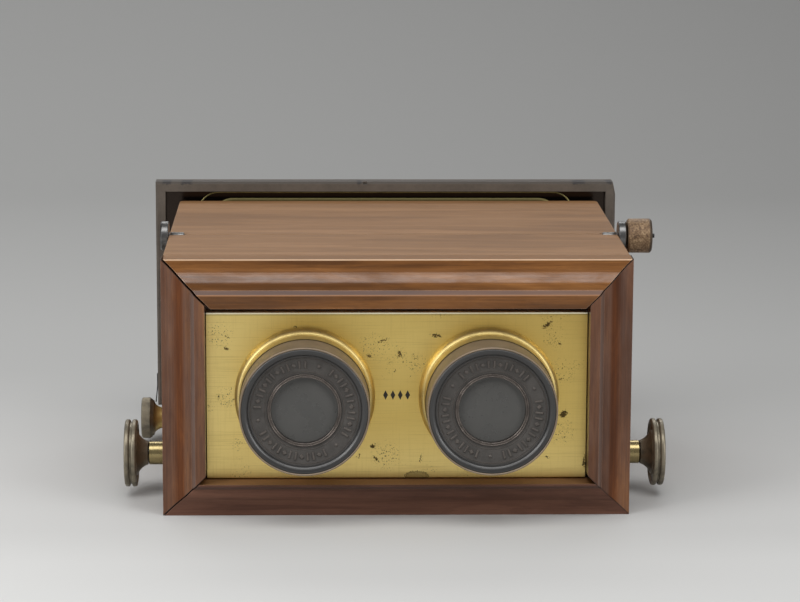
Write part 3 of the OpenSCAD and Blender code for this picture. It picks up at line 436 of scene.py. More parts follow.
# How far the blots' outlines stray, and the shifts of the noises that move them across and up
DRIFT = 1.7 * MM
DRIFT_SHIFTS = ((3, 5, 7), (9, 2, 4))
# Where painted light brightens the plate: below these heights and left of these places
PAINTED_LIGHT_LOW = (12 * MM, 42 * MM)
PAINTED_LIGHT_LEFT = (-78 * MM, -28 * MM)
# Drops below the plate's top: the painted shade line of the front arris, its half widths, and where the
# painted highlight of the top edge ends
ARRIS_SHADE_DROP = 1.25 * MM
ARRIS_SHADE_HALF = (0.1 * MM, 0.3 * MM)
EDGE_HIGHLIGHT_DROPS = (0.9 * MM, 1.05 * MM)

PLATE_TONES = ((0.67, 0.475, 0.140), (0.75, 0.550, 0.168), (0.83, 0.635, 0.218))
PLATE_DARK = (0.56, 0.40, 0.118)
PLATE_PAINTED_LIGHT = (0.99, 0.79, 0.32)
PLATE_SPOT = (0.030, 0.017, 0.006)
PLATE_ARRIS_SHADE = (0.20, 0.15, 0.05)
PLATE_EDGE_HIGHLIGHT = (1.0, 0.94, 0.70)
TIDE_TONE = (0.10, 0.085, 0.035)


def plate_ground(f, brush, across, height):
    """Cloudy brass, with painted light low down and to the left, brushing across and faint scratches upwards.
    """
    weave = f.noise(f.stretched((2300, 500, 60)), 1, 3, 0.6)
    cloud = f.noise(f.stretched((12, 22, 22)), 1, 4, 0.5)
    shade = f.ramp(cloud, list(zip((0.3, 0.5, 0.72), PLATE_TONES)))
    # Painted light, brighter low down and to the left
    wear_and_painted_light = f.larger(f.inverse(f.step(height, *PAINTED_LIGHT_LOW)), f.inverse(f.step(across, *PAINTED_LIGHT_LEFT)))
    shade = f.tint(shade, wear_and_painted_light, 0.68, PLATE_PAINTED_LIGHT)
    shade = f.tint(shade, f.step(brush, 0.5, 0.7), 0.36, PLATE_DARK)
    return f.tint(shade, f.step(weave, 0.52, 0.72), 0.16, PLATE_DARK)


def plate_pits(f):
    """Fine pits and broken cracks, gathered in fields."""
    fields = f.times(f.step(f.noise(f.coords, *FIELD_NOISE), 0.57, 0.68), 0.7)
    for x, z, radius in PIT_FIELDS:
        away = f.away(x * MM, z * MM)
        fields = f.larger(fields, f.inverse(f.step(away, radius * PIT_FIELD_CORE * MM, radius * MM)))
    pits = f.times(f.step(f.noise(f.coords, *FLECK_NOISE), 0.61, 0.66), fields)
    crack = f.near(f.noise(f.coords, *WORM_NOISE), 0.5, 0.004, 0.016)
    broken = f.step(f.noise(f.coords, *BREAK_NOISE), 0.53, 0.6)
    return f.larger(pits, f.times(f.times(crack, broken), f.times(fields, 0.75)))


def plate_blots(f, spots, ragged, across, height):
    """Adds the ragged blots to the spots."""
    drift_x, drift_z = (f.between(f.noise(f.stretched((1, 1, 1), shift), *DRIFT_NOISE), -DRIFT, DRIFT)
                        for shift in DRIFT_SHIFTS)
    for x, z, half_x, half_z, slant in BLOTS:
        cosine, sine = math.cos(math.radians(slant)), math.sin(math.radians(slant))
        right = f.minus(f.plus(across, drift_x), x * MM)
        up = f.minus(f.plus(height, drift_z), z * MM)
        u = f.plus(f.times(right, cosine / (half_x * MM)), f.times(up, sine / (half_x * MM)))
        v = f.minus(f.times(up, cosine / (half_z * MM)), f.times(right, sine / (half_z * MM)))
        blot = f.inverse(f.step(f.plus(f.length(u, v), ragged), 0.75, 1.1))
        spots = f.larger(spots, f.times(blot, 0.92))
    return spots


def plate_tide(f, ragged, across, height):
    """The tide mark's film and its dark rim."""
    right = f.math("DIVIDE", f.minus(across, TIDE_PLACE[0]), TIDE_SIZE[0])
    up = f.math("DIVIDE", f.minus(height, TIDE_PLACE[1]), TIDE_SIZE[1])
    tide = f.plus(f.length(right, up), f.times(ragged, 0.45))
    return f.inverse(f.step(tide, 0.85, 1.0)), f.near(tide, 1.0, 0.03, 0.13)


def plate_brass():
    """Brass brushed from side to side, with pits, cracks, blots, a tide mark, painted light low down and to
    the left, a painted shade line under the top, and a painted highlight on the top edge that is partly bare
    rubbed brass.
    """
    f = Finish("plate_brass")
    f.rounded(0.1 * MM)
    across, _, height = f.axes()
    brush = f.noise(f.stretched((38, 2300, 2300)), 1, 4, 0.65)
    ragged = f.between(f.noise(f.coords, *RAGGED_NOISE), -1.2, 1.4)
    shade = plate_ground(f, brush, across, height)
    spots = plate_blots(f, plate_pits(f), ragged, across, height)
    film, rim = plate_tide(f, ragged, across, height)
    shade = f.tint(shade, film, 0.45, TIDE_TONE)
    spots = f.larger(spots, f.times(rim, 0.7))
    shade = f.mix(spots, shade, PLATE_SPOT)
    below = f.minus(PLATE_HIGH.z, height)
    # Painted shade line along the front arris
    shade = f.tint(shade, f.near(below, ARRIS_SHADE_DROP, *ARRIS_SHADE_HALF), 0.5, PLATE_ARRIS_SHADE)
    # Painted highlight on the top edge, over bare rubbed brass
    shade = f.mix(f.inverse(f.step(below, *EDGE_HIGHLIGHT_DROPS)), shade, PLATE_EDGE_HIGHLIGHT)
    f.set(Base_Color=shade, Metallic=f.inverse(spots), Specular_IOR_Level=0.12)
    f.set(Roughness=f.plus(f.between(brush, 0.32, 0.42), f.times(spots, 0.3)))
    return f.bump(f.minus(brush, spots), 0.015 * MM, 0.35).material


# Lacquer, paint and glass

def bronze_lacquer(name, dark, worn, rough):
    """Brown lacquer over brass, rubbed through on its edges."""
    f = Finish(name)
    edge = f.rounded(0.2 * MM)
    cloud = f.noise(f.coords, 130, 5, 0.6, 0.5)
    fine = f.noise(f.coords, 2400, 3, 0.6)
    lighter = tuple(c * 1.5 for c in dark)
    shade = f.ramp(f.blend((cloud, 0.7), (fine, 0.3)), [(0.35, dark), (0.65, lighter)])
    wear_and_painted_light = f.times(f.step(edge, 0.1, 0.5), f.step(cloud, 0.35, 0.6))
    f.set(Base_Color=f.mix(wear_and_painted_light, shade, worn), Metallic=f.between(wear_and_painted_light, 0.35, 1.0))
    f.set(Roughness=f.between(cloud, rough - 0.05, rough + 0.1), Coat_Weight=0.3, Coat_Roughness=0.18)
    return f.bump(fine, 0.02 * MM).material


# Chips on the frame's top edge: where each begins and ends across, in millimetres
FRAME_CHIPS = ((-99.5, -95.5), (-91, -86.5), (-14, -12), (81, 86.5), (96, 98.5))
CHIP_EDGE = 0.5
CHIP_RAGGED = 1.6 * MM
# Drops below the frame's top between which a chip ends
CHIP_DROPS = (1.3 * MM, 0.7 * MM)
CHIP_TONE = (0.014, 0.011, 0.010)
# Painted shade that darkens the frame's upward faces
TOP_SHADE = (0.040, 0.031, 0.024)


def chip_top(f, shade, chips):
    """Dark chips along the frame's top edge."""
    across, _, height = f.axes()
    ragged = f.between(f.noise(f.coords, 900, 3, 0.6), -CHIP_RAGGED, CHIP_RAGGED)
    along = f.plus(across, ragged)
    starts, ends = (FRAME_HIGH.z - drop for drop in CHIP_DROPS)
    for chip in chips:
        rise, fall = (((place - CHIP_EDGE) * MM, (place + CHIP_EDGE) * MM) for place in chip)
        top = f.step(f.plus(height, ragged), starts, ends)
        shade = f.tint(shade, f.within(along, rise, fall), top, CHIP_TONE)
    return shade


def painted(name, dark, light, rough, blotch=90, chips=(), top_shade_amount=0.0):
    """Painted, stained or worn surface with cloudy tone, scuffs and, where asked for, chips and painted shade
    on the upward faces.
    """
    f = Finish(name)
    edge = f.rounded(0.4 * MM)
    cloud = f.noise(f.coords, blotch, 5, 0.6, 0.4)
    fine = f.noise(f.coords, blotch * 14, 3, 0.6)
    shade = f.ramp(f.blend((cloud, 0.65), (fine, 0.35)), [(0.36, dark), (0.64, light)])
    scuff = tuple(min(1, c * 1.6) for c in light)
    shade = f.tint(shade, f.step(edge, 0.06, 0.4), f.step(cloud, 0.3, 0.6), scuff)
    if top_shade_amount:
        # Painted shade on the upward faces
        shade = f.tint(shade, f.facing_up(0.15, 0.5), top_shade_amount, TOP_SHADE)
    if chips:
        shade = chip_top(f, shade, chips)
    f.set(Base_Color=shade, Metallic=0.0, Roughness=f.between(fine, rough - 0.08, rough + 0.1))
    return f.bump(fine, 0.04 * MM).material


DISH_TONES = ((0.048, 0.044, 0.040), (0.080, 0.073, 0.067))
DISH_BLACK = (0.010, 0.010, 0.010)
DISH_RUBBED = (0.13, 0.11, 0.085)


def dish_lacquer():
    """Black lacquer over brass: dull on the cone, glossy on the lip, rubbed through at the rim."""
    f = Finish("black_dish")
    edge = f.rounded(0.2 * MM)
    cloud = f.noise(f.coords, 150, 5, 0.6, 0.5)
    fine = f.noise(f.coords, 2600, 3, 0.6)
    shade = f.ramp(f.blend((cloud, 0.6), (fine, 0.4)), list(zip((0.38, 0.62), DISH_TONES)))
    eye = EYE_CENTRES["right"]
    radius = f.away(eye.x, eye.z, f.amount(f.axes()[0]))
    lip = f.step(radius, DISH_LIP_R - 0.5 * MM, DISH_LIP_R + 0.1 * MM)
    shade = f.tint(shade, lip, 0.85, DISH_BLACK)
    wear_and_painted_light = f.times(f.step(edge, 0.08, 0.4), f.step(cloud, 0.4, 0.62))
    shade = f.tint(shade, wear_and_painted_light, 0.4, DISH_RUBBED)
    f.set(Base_Color=shade, Metallic=0.2, Specular_IOR_Level=0.35)
    f.set(Roughness=f.minus(f.between(cloud, 0.44, 0.58), f.times(lip, 0.2)))
    f.set(Coat_Weight=lip, Coat_Roughness=0.34)
    return f.bump(fine, 0.02 * MM).material


STIPPLE_TONES = ((0.055, 0.028, 0.014), (0.18, 0.108, 0.055), (0.37, 0.26, 0.15))
STIPPLE_END = (0.035, 0.024, 0.016)
STIPPLE_PALE = (0.42, 0.30, 0.18)


def stippled_bronze():
    """Golden-brown lacquer with a coarse worn stipple, dark round the knob's outer end."""
    f = Finish("lid_bronze")
    edge = f.rounded(0.3 * MM)
    stipple = f.noise(f.coords, 1500, 3, 0.7, 0.3)
    cloud = f.noise(f.coords, 260, 4, 0.6, 0.6)
    shade = f.ramp(f.blend((stipple, 0.6), (cloud, 0.4)), list(zip((0.36, 0.5, 0.64), STIPPLE_TONES)))
    end = f.step(f.axes()[0], KNOB_HIGH.x - 1.3 * MM, KNOB_HIGH.x - 0.8 * MM)
    shade = f.tint(shade, end, 0.8, STIPPLE_END)
    shade = f.tint(shade, f.step(edge, 0.1, 0.4), 0.35, STIPPLE_PALE)
    f.set(Base_Color=shade, Metallic=0.35, Roughness=f.between(stipple, 0.42, 0.6))
    return f.bump(stipple, 0.25 * MM, 0.8).material


# Painted shade: the lens's dark grey stands for the dark case behind it
LENS_SHADE_TONES = ((0.068, 0.067, 0.063), (0.080, 0.078, 0.073))
GROUND_TONES = ((0.72, 0.76, 0.74), (0.86, 0.89, 0.87))


def lens_glass():
    """Old lens with a faint dull bloom, tinted dark grey as painted shade of the dark case seen through it.
    """
    f = Finish("lens_glass")
    haze = f.noise(f.coords, 120, 5, 0.6)
    f.set(Base_Color=f.ramp(haze, list(zip((0.3, 0.7), LENS_SHADE_TONES))))
    f.set(Roughness=f.between(haze, 0.22, 0.34), IOR=1.45, Transmission_Weight=0.15)
    return f.material


def ground_glass():
    """Glass ground on one face."""
    f = Finish("ground_glass")
    grit = f.noise(f.coords, 4200, 3, 0.6)
    f.set(Base_Color=f.ramp(grit, list(zip((0.3, 0.7), GROUND_TONES))))
    f.set(Roughness=f.between(grit, 0.5, 0.65), IOR=1.5, Transmission_Weight=0.75)
    return f.bump(grit, 0.02 * MM, 0.6).material


def silvered(name, colour, rough, spotting):
    """Mirror whose silvering has begun to spot."""
    f = Finish(name)
    cloud = f.noise(f.coords, 60, 5, 0.6, 0.5)
    speck = f.step(f.noise(f.coords, 700, 3, 0.6), 0.66, 0.74)
    lost = f.times(speck, f.times(f.step(cloud, 0.4, 0.6), spotting))
    f.set(Base_Color=f.mix(lost, colour, (0.05, 0.045, 0.04)), Metallic=f.between(lost, 0.95, 0.2))
    f.set(Roughness=f.between(cloud, rough, rough + 0.1))
    return f.material


# The finishes and their tones

# The same walnut as the rest, painted paler for the light and sheen that fall on the level top
WALNUT_LIT_TOP = dict(dark=(0.180, 0.091, 0.038), mid=(0.230, 0.119, 0.050), light=(0.283, 0.152, 0.070),
                  wear_colour=(0.70, 0.52, 0.38))
WALNUT_RED = dict(dark=(0.085, 0.031, 0.010), mid=(0.148, 0.057, 0.016), light=(0.225, 0.094, 0.027),
                  wear_colour=(0.55, 0.33, 0.21))
WALNUT_GOLD = dict(dark=(0.094, 0.037, 0.011), mid=(0.166, 0.066, 0.018), light=(0.256, 0.109, 0.032),
                   wear_colour=(0.55, 0.33, 0.21))
WALNUT_RAIL = dict(dark=(0.078, 0.033, 0.018), mid=(0.125, 0.054, 0.028), light=(0.198, 0.086, 0.036),
                   wear_colour=(0.38, 0.23, 0.16))
WALNUT_FOOT = dict(dark=(0.076, 0.036, 0.024), mid=(0.112, 0.052, 0.035), light=(0.160, 0.076, 0.050),
                   wear_colour=(0.26, 0.15, 0.11))
WALNUT_DARK = dict(dark=(0.042, 0.018, 0.012), mid=(0.080, 0.034, 0.022), light=(0.125, 0.054, 0.034),
                   wear_colour=(0.24, 0.14, 0.11))
TOP_FINISH = dict(WALNUT_LIT_TOP, rough=0.46, coat=0.05, lines=0.28, wear=0.3)
RAIL_FINISH = dict(WALNUT_RAIL, grain="z", rough=0.30, coat=0.45, mitred=True, flank_shade_depth=0.8)

WOODS = {
    "walnut_top": TOP_FINISH,
    "walnut_lid": dict(TOP_FINISH, shift=(0.3, 1.7, 0.4)),
    "moulding_top": dict(WALNUT_GOLD, rough=0.30, coat=0.85, shift=(0.8, 0.2, 2.1), wear=0.85, mitred=True,
                         ledge_reflection=(0.135, 0.108, 0.105), arrises=True),
    "moulding_left": dict(RAIL_FINISH, shift=(3.1, 0.4, 0.9)),
    "moulding_right": dict(RAIL_FINISH, shift=(6.3, 1.2, 1.7)),
    "moulding_bottom": dict(WALNUT_FOOT, rough=0.5, coat=0.0, shift=(1.3, 2.2, 0.1), mitred=True),
    "walnut_side": dict(WALNUT_RED, grain="y", shift=(0.5, 0.9, 3.1)),
    "walnut_base": dict(WALNUT_DARK, rough=0.42, coat=0.1, shift=(2.5, 0.3, 0.6)),
    "inner_wood": dict(WALNUT_DARK, grain="y", rough=0.5, coat=0.0, shift=(0.2, 3.3, 1.4)),
}

BRASS = (0.70, 0.52, 0.19)
BRASS_DULL = (0.22, 0.15, 0.06)
KNOB_DULL = (0.120, 0.105, 0.080)
FLANGE_DIRT = (FLANGE_LOW.y + 0.25 * MM, FLANGE_LOW.y + 0.8 * MM)
CLAMP_NECK = (CLAMP_LOW.x + 4.6 * MM, CLAMP_LOW.x + 7.5 * MM)

METALS = {
    "flange_brass": dict(colour=(0.72, 0.57, 0.235), dull=BRASS_DULL, rough=0.48, blotch=140, turned="y",
                         tarnish=0.3, edge_pale=0.0, dirt=FLANGE_DIRT),
    "stem_brass": dict(colour=(0.40, 0.32, 0.155), dull=BRASS_DULL, rough=0.24, blotch=200, tarnish=0.25),
    "knob_brass": dict(colour=(0.260, 0.225, 0.162), dull=KNOB_DULL, rough=0.36, blotch=190,
                       line_depth=0.02, tarnish=0.75, metallic=0.6),
    "clamp_brass": dict(colour=(0.250, 0.220, 0.160), dull=KNOB_DULL, rough=0.36, blotch=190,
                        line_depth=0.02, metallic=0.8, neck=CLAMP_NECK),
    "inner_brass": dict(colour=(0.58, 0.44, 0.19), dull=BRASS_DULL, rough=0.34, blotch=150, turned="none",
                        tarnish=0.4),
    "gilt": dict(colour=(0.46, 0.40, 0.17), dull=(0.25, 0.21, 0.10), rough=0.45, blotch=300, turned="none",
                 tarnish=0.4),
    "ring_bronze": dict(colour=(0.160, 0.138, 0.124), dull=(0.060, 0.052, 0.047), rough=0.3, blotch=260,
                        turned="none"),
    "steel": dict(colour=(0.17, 0.168, 0.165), dull=(0.07, 0.068, 0.065), rough=0.3, blotch=220),
    "pin_steel": dict(colour=(0.085, 0.09, 0.095), dull=(0.03, 0.03, 0.03), rough=0.35, blotch=220),
    "sleeve_steel": dict(colour=(0.20, 0.20, 0.195), dull=(0.06, 0.06, 0.058), rough=0.34, blotch=260),
    "black_steel": dict(colour=(0.05, 0.05, 0.048), dull=(0.02, 0.018, 0.016), rough=0.45, blotch=160,
                        turned="none", line_depth=0.02, tarnish=0.35),
}

PAINTS = {
    "black_wood": dict(dark=(0.012, 0.011, 0.010), light=(0.028, 0.025, 0.023), rough=0.7),
    "frame_wood": dict(dark=(0.062, 0.049, 0.038), light=(0.100, 0.080, 0.062), rough=0.6, blotch=60,
                       chips=FRAME_CHIPS, top_shade_amount=0.85),
    "frame_back": dict(dark=(0.055, 0.042, 0.033), light=(0.095, 0.075, 0.058), rough=0.65, blotch=40),
    "dish_relief": dict(dark=(0.055, 0.047, 0.041), light=(0.082, 0.069, 0.059), rough=0.45, blotch=240),
}

MATERIALS = {
    "plate_brass": plate_brass(),
    "bronze": bronze_lacquer("bronze", dark=(0.170, 0.126, 0.084), worn=(0.11, 0.092, 0.068), rough=0.46),
    "lid_bronze": stippled_bronze(),
    "black_dish": dish_lacquer(),
    "lens_glass": lens_glass(),
    "ground_glass": ground_glass(),
    "silvered_glass": silvered("silvered_glass", colour=(0.78, 0.80, 0.81), rough=0.03, spotting=0.8),
    "dark_mirror": silvered("dark_mirror", colour=(0.036, 0.027, 0.022), rough=0.14, spotting=0.3),
}
for make, table in ((wood, WOODS), (metal, METALS), (painted, PAINTS)):
    MATERIALS.update({name: make(name, **values) for name, values in table.items()})

# Finishes of nodes whose record slot covers more than one look
LOOKS = {
    "lid_board": "walnut_lid", "front_rail_top": "moulding_top", "front_rail_left": "moulding_left",
    "front_rail_right": "moulding_right", "front_rail_bottom": "moulding_bottom",
    "pinion_bush_left": "stem_brass", "pinion_bush_right": "stem_brass",
    "reflector_back": "frame_back", "lid_knob": "lid_bronze", "lens_ring_left": "ring_bronze",
    "lens_ring_right": "ring_bronze", "lid_pin_left": "pin_steel", "lid_pin_right": "pin_steel",
    "clamp_knob": "clamp_brass",
}
SLOT_OF = {part["node"]: part["material_slot"] for part in frame["record"]["subparts"]}


def dress_nodes():
    for name, obj in frame["nodes"].items():
        look = LOOKS.get(name, SLOT_OF[name])
        obj.data.materials.clear()
        obj.data.materials.append(MATERIALS[look])


dress_nodes()


# Pieces

FORWARD = Vector((0, -1, 0))
BACKWARD = Vector((0, 1, 0))


def add_piece(name, mesh, body, look, smooth=False):
    """Gives a bmesh an object that rides on a body, with its finish."""
    data = bpy.data.meshes.new(name)
    bmesh.ops.recalc_face_normals(mesh, faces=mesh.faces)
    mesh.to_mesh(data)
    mesh.free()
    for face in data.polygons:
        face.use_smooth = smooth
    obj = bpy.data.objects.new(name, data)
    bpy.context.scene.collection.objects.link(obj)
    data.materials.append(MATERIALS[look])
    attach(obj, body)


def ring_points(count):
    turns = [2 * math.pi * i / count for i in range(count)]
    return [(math.cos(turn), math.sin(turn)) for turn in turns]


def join_rings(mesh, first, second):
    """Faces between two closed rings of corners."""
    count = len(first)
    for i in range(count):
        after = (i + 1) % count
        mesh.faces.new([first[i], first[after], second[after], second[i]])


# Width of a ribbon's top, as a share of its foot
RIBBON_TOP = 0.7


def add_ribbon(mesh, path, width, rise, normal):
    """A closed flat ribbon along a closed path, raised a little over the face that it lies on."""
    count = len(path)
    rows = []
    for i in range(count):
        ahead = (path[(i + 1) % count] - path[i - 1]).normalized()
        aside = ahead.cross(normal).normalized() * width / 2
        low, high = path[i], path[i] + normal * rise
        corners = (low - aside, high - aside * RIBBON_TOP, high + aside * RIBBON_TOP, low + aside)
        rows.append([mesh.verts.new(p) for p in corners])
    for i in range(count):
        join_rings(mesh, rows[i], rows[(i + 1) % count])


CORNER_STEPS = 10


def rounded_rectangle(low_x, high_x, low_z, high_z, radius, y):
    points = []
    corners = [(high_x - radius, low_z + radius, -90), (high_x - radius, high_z - radius, 0),
               (low_x + radius, high_z - radius, 90), (low_x + radius, low_z + radius, 180)]
    for x, z, start in corners:
        for i in range(CORNER_STEPS + 1):
            angle = math.radians(start + 90 * i / CORNER_STEPS)
            points.append(Vector((x + radius * math.cos(angle), y, z + radius * math.sin(angle))))
    return points


GILT_CORNER = 8.5 * MM
GILT_RISE = 0.12 * MM
# The gilt lines: distance in from the glass's sides, drop from its top and bottom, and width
GILT_LINES = {
    "gilt_line_outer": (14.5 * MM, 0.9 * MM, 0.75 * MM),
    "gilt_line_inner": (21.0 * MM, 4.1 * MM, 1.6 * MM),
}


def gilt_line(name, inset, drop, width):
    """A gilt line round the reflector's glass."""
    mesh = bmesh.new()
    path = rounded_rectangle(MIRROR_LOW.x + inset, MIRROR_HIGH.x - inset, MIRROR_LOW.z + drop,
                             MIRROR_HIGH.z - drop, GILT_CORNER, MIRROR_LOW.y)
    add_ribbon(mesh, path, width, GILT_RISE, FORWARD)
    add_piece(name, mesh, "reflector", "gilt", smooth=True)


for line_name, line_sizes in GILT_LINES.items():
    gilt_line(line_name, *line_sizes)

# The dishes' ornament: groups round the cone, bars in each and degrees between bars
GROUPS = 3
BARS = 13
BAR_PITCH = 7.2
GROUP_START = {"left": 78, "right": 2}
# Width, length and rise of the blocks, and the share of their width that is left at the top
BAR_SIZE = (0.95 * MM, 3.4 * MM, 0.46 * MM)
BAR_TAPER = 0.6
LOZENGE_SIZE = (1.7 * MM, 1.7 * MM, 0.46 * MM)
LOZENGE_TAPER = 0.55
BLOCK_FOOT = 0.1 * MM
BEAD_R = 0.75 * MM
BEAD_RISE = 0.45 * MM
BEAD_STEPS = 10
# A bead's rings: height and radius as shares of its own
BEAD_RINGS = ((-0.2, 1.0), (0.45, 0.85), (0.85, 0.5))
# The fine rings: distance from the lens ring and from the lip, width, rise and corners
FINE_RING_IN = 1.1 * MM
FINE_RING_OUT = 0.9 * MM
FINE_RING_SIZE = (0.32 * MM, 0.13 * MM)
FINE_RING_STEPS = 120
# The cone's depths at the lip and at the lens ring, behind the dish's and the ring's fronts
CONE_FRONT = 1.9 * MM
CONE_BACK = 0.58 * MM
# How far outside the cone's middle the blocks and beads stand
ORNAMENT_SHIFT = 0.2 * MM


def add_block(mesh, place, size, taper):
    """A small block with a narrower top. The place's axes are its width, its length and its rise."""
    half_w, half_l, rise = size[0] / 2, size[1] / 2, size[2]
    low = [Vector((x * half_w, y * half_l, -BLOCK_FOOT)) for x, y in ((-1, -1), (1, -1), (1, 1), (-1, 1))]
    high = [Vector((p.x * taper, p.y * (1 + taper) / 2, rise)) for p in low]
    a = [mesh.verts.new(place @ p) for p in low]
    b = [mesh.verts.new(place @ p) for p in high]
    mesh.faces.new(a[::-1])
    mesh.faces.new(b)
    join_rings(mesh, a, b)


def add_bead(mesh, place):
    rings = []
    for level, share in BEAD_RINGS:
        corners = [(x * BEAD_R * share, y * BEAD_R * share) for x, y in ring_points(BEAD_STEPS)]
        rings.append([mesh.verts.new(place @ Vector((x, y, BEAD_RISE * level))) for x, y in corners])
    top = mesh.verts.new(place @ Vector((0, 0, BEAD_RISE)))
    for a, b in zip(rings, rings[1:]):
        join_rings(mesh, a, b)
    for i in range(BEAD_STEPS):
        mesh.faces.new([rings[-1][i], rings[-1][(i + 1) % BEAD_STEPS], top])
    mesh.faces.new(rings[0][::-1])


def dish_ornament(side):
    """Raised bars and lozenges in three groups round the dish's cone, with a bead in each gap, and fine rings
    on both sides of them."""
    centre = EYE_CENTRES[side]
    front_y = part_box("eye_dish_" + side)[0].y + CONE_FRONT
    back_y = RING_LOW.y + CONE_BACK
    slope = math.atan2(back_y - front_y, DISH_LIP_R - RING_R)

    def cone_place(radius, turn):
        y = back_y - (radius - RING_R) * math.tan(slope)
        return (Matrix.Translation((centre.x, y, centre.z)) @ Matrix.Rotation(turn, 4, "Y")
                @ Matrix.Translation((0, 0, radius)) @ Matrix.Rotation(slope, 4, "X")
                @ Matrix.Rotation(math.radians(90), 4, "X"))

    mesh = bmesh.new()
    middle_r = (RING_R + DISH_LIP_R) / 2 + ORNAMENT_SHIFT
    for group in range(GROUPS):
        start = 360 / GROUPS * group + GROUP_START[side]
        for i in range(BARS):
            turn = math.radians(start + BAR_PITCH * (i - (BARS - 1) / 2))
            place = cone_place(middle_r, turn)
            if i % 3 == 1:
                turned = place @ Matrix.Rotation(math.radians(45), 4, "Z")
                add_block(mesh, turned, LOZENGE_SIZE, LOZENGE_TAPER)
            else:
                add_block(mesh, place, BAR_SIZE, BAR_TAPER)
        add_bead(mesh, cone_place(middle_r, math.radians(start + 180 / GROUPS)))
    for radius in (RING_R + FINE_RING_IN, DISH_LIP_R - FINE_RING_OUT):
        turns = [2 * math.pi * i / FINE_RING_STEPS for i in range(FINE_RING_STEPS)]
        path = [cone_place(radius, turn).to_translation() for turn in turns]
        add_ribbon(mesh, path, *FINE_RING_SIZE, FORWARD)
    add_piece("dish_ornament_" + side, mesh, "carriage", "dish_relief")


for side_name in SIDES:
    dish_ornament(side_name)

# The plate's lozenges: count, pitch, width, height, their middle and their thickness
LOZENGES = 4
LOZENGE_PITCH = 2.9 * MM
LOZENGE_W = 1.9 * MM
LOZENGE_H = 3.8 * MM
LOZENGE_MIDDLE = (-0.1 * MM, 47.9 * MM)
LOZENGE_HALF_T = 0.05 * MM


def plate_lozenges():
    """Four small painted lozenges in the middle of the plate."""
    mesh = bmesh.new()
    half_w, half_h = LOZENGE_W / 2, LOZENGE_H / 2
    z = LOZENGE_MIDDLE[1]
    for i in range(LOZENGES):
        x = LOZENGE_MIDDLE[0] + (i - (LOZENGES - 1) / 2) * LOZENGE_PITCH
        corners = [(x, z - half_h), (x + half_w, z), (x, z + half_h), (x - half_w, z)]
        front, back = ([mesh.verts.new((px, PLATE_LOW.y + t, pz)) for px, pz in corners]
                       for t in (-LOZENGE_HALF_T, LOZENGE_HALF_T))
        mesh.faces.new(front)
        mesh.faces.new(back[::-1])
        join_rings(mesh, front, back)
    add_piece("plate_lozenges", mesh, "carriage", "black_wood")


plate_lozenges()

# The clamp knob's milling: width of the rim, its plain margins, and the ridges' count, rise, groove, foot
# and slope
CLAMP_RIM = 4.1 * MM
MILLING_MARGIN = 0.35 * MM
MILLING_RIDGES = 110
MILLING_RISE = 0.14 * MM
MILLING_GROOVE = 0.01 * MM
MILLING_FOOT = -0.05 * MM
MILLING_SLOPE = 0.12 * MM


def clamp_knob_milling():
    """Fine ridges round the clamp knob's rim."""
    axis = (CLAMP_LOW + CLAMP_HIGH) / 2
    radius = (CLAMP_HIGH.z - CLAMP_LOW.z) / 2
    x0, x1 = CLAMP_LOW.x + MILLING_MARGIN, CLAMP_LOW.x + CLAMP_RIM - MILLING_MARGIN
    rows = ((x0, MILLING_FOOT), (x0 + MILLING_SLOPE, MILLING_RISE),
            (x1 - MILLING_SLOPE, MILLING_RISE), (x1, MILLING_FOOT))
    mesh = bmesh.new()
    rings = []
    for x, crest in rows:
        ring = []
        for i, (c, s) in enumerate(ring_points(MILLING_RIDGES * 4)):
            reach = radius + (crest if i % 4 in (1, 2) else min(crest, MILLING_GROOVE))
            ring.append(mesh.verts.new((x, axis.y + c * reach, axis.z + s * reach)))
        rings.append(ring)
    for a, b in zip(rings, rings[1:]):
        join_rings(mesh, a, b)
    add_piece("clamp_knob_milling", mesh, "clamp", "knob_brass")


clamp_knob_milling()

# Screw heads: steps round each half, half width of the slot and crown as shares of the radius, and foot
SCREW_STEPS = 20
SCREW_SLOT = 0.16
SCREW_CROWN = 0.86
SCREW_FOOT = 0.2 * MM


def add_screw(mesh, place, radius, rise):
    """A slotted round head: two crowned halves with a gap between them."""
    gap = radius * SCREW_SLOT
    start = math.asin(gap / radius)
    angles = [start + (math.pi - 2 * start) * i / SCREW_STEPS for i in range(SCREW_STEPS + 1)]
    for flip in (1, -1):
        outline = [(radius * math.cos(angle), flip * radius * math.sin(angle)) for angle in angles]
        crown = [(x * SCREW_CROWN, flip * max(gap, abs(y) * SCREW_CROWN)) for x, y in outline]
        base, mid, inner = ([mesh.verts.new(place @ Vector((x, y, z))) for x, y in ring]
                            for ring, z in ((outline, -SCREW_FOOT), (outline, rise * 0.5), (crown, rise)))
        join_rings(mesh, base, mid)
        join_rings(mesh, mid, inner)
        mesh.faces.new(inner)
        mesh.faces.new(base[::-1])


def facing(point, direction, turn):
    """A place whose rise points along direction."""
    aim = direction.to_track_quat("Z", "Y").to_matrix().to_4x4()
    return Matrix.Translation(point) @ aim @ Matrix.Rotation(turn, 4, "Z")


SLEEVE_STEPS = 24
# How far a sleeve starts inside the pin's inner end, and its rings: distance from that start and radius,
# all in millimetres
SLEEVE_START = 0.2
SLEEVE_RINGS = ((0, 0.55), (0.25, 1.2), (0.7, 1.45), (5.5, 1.45), (5.7, 1.25))


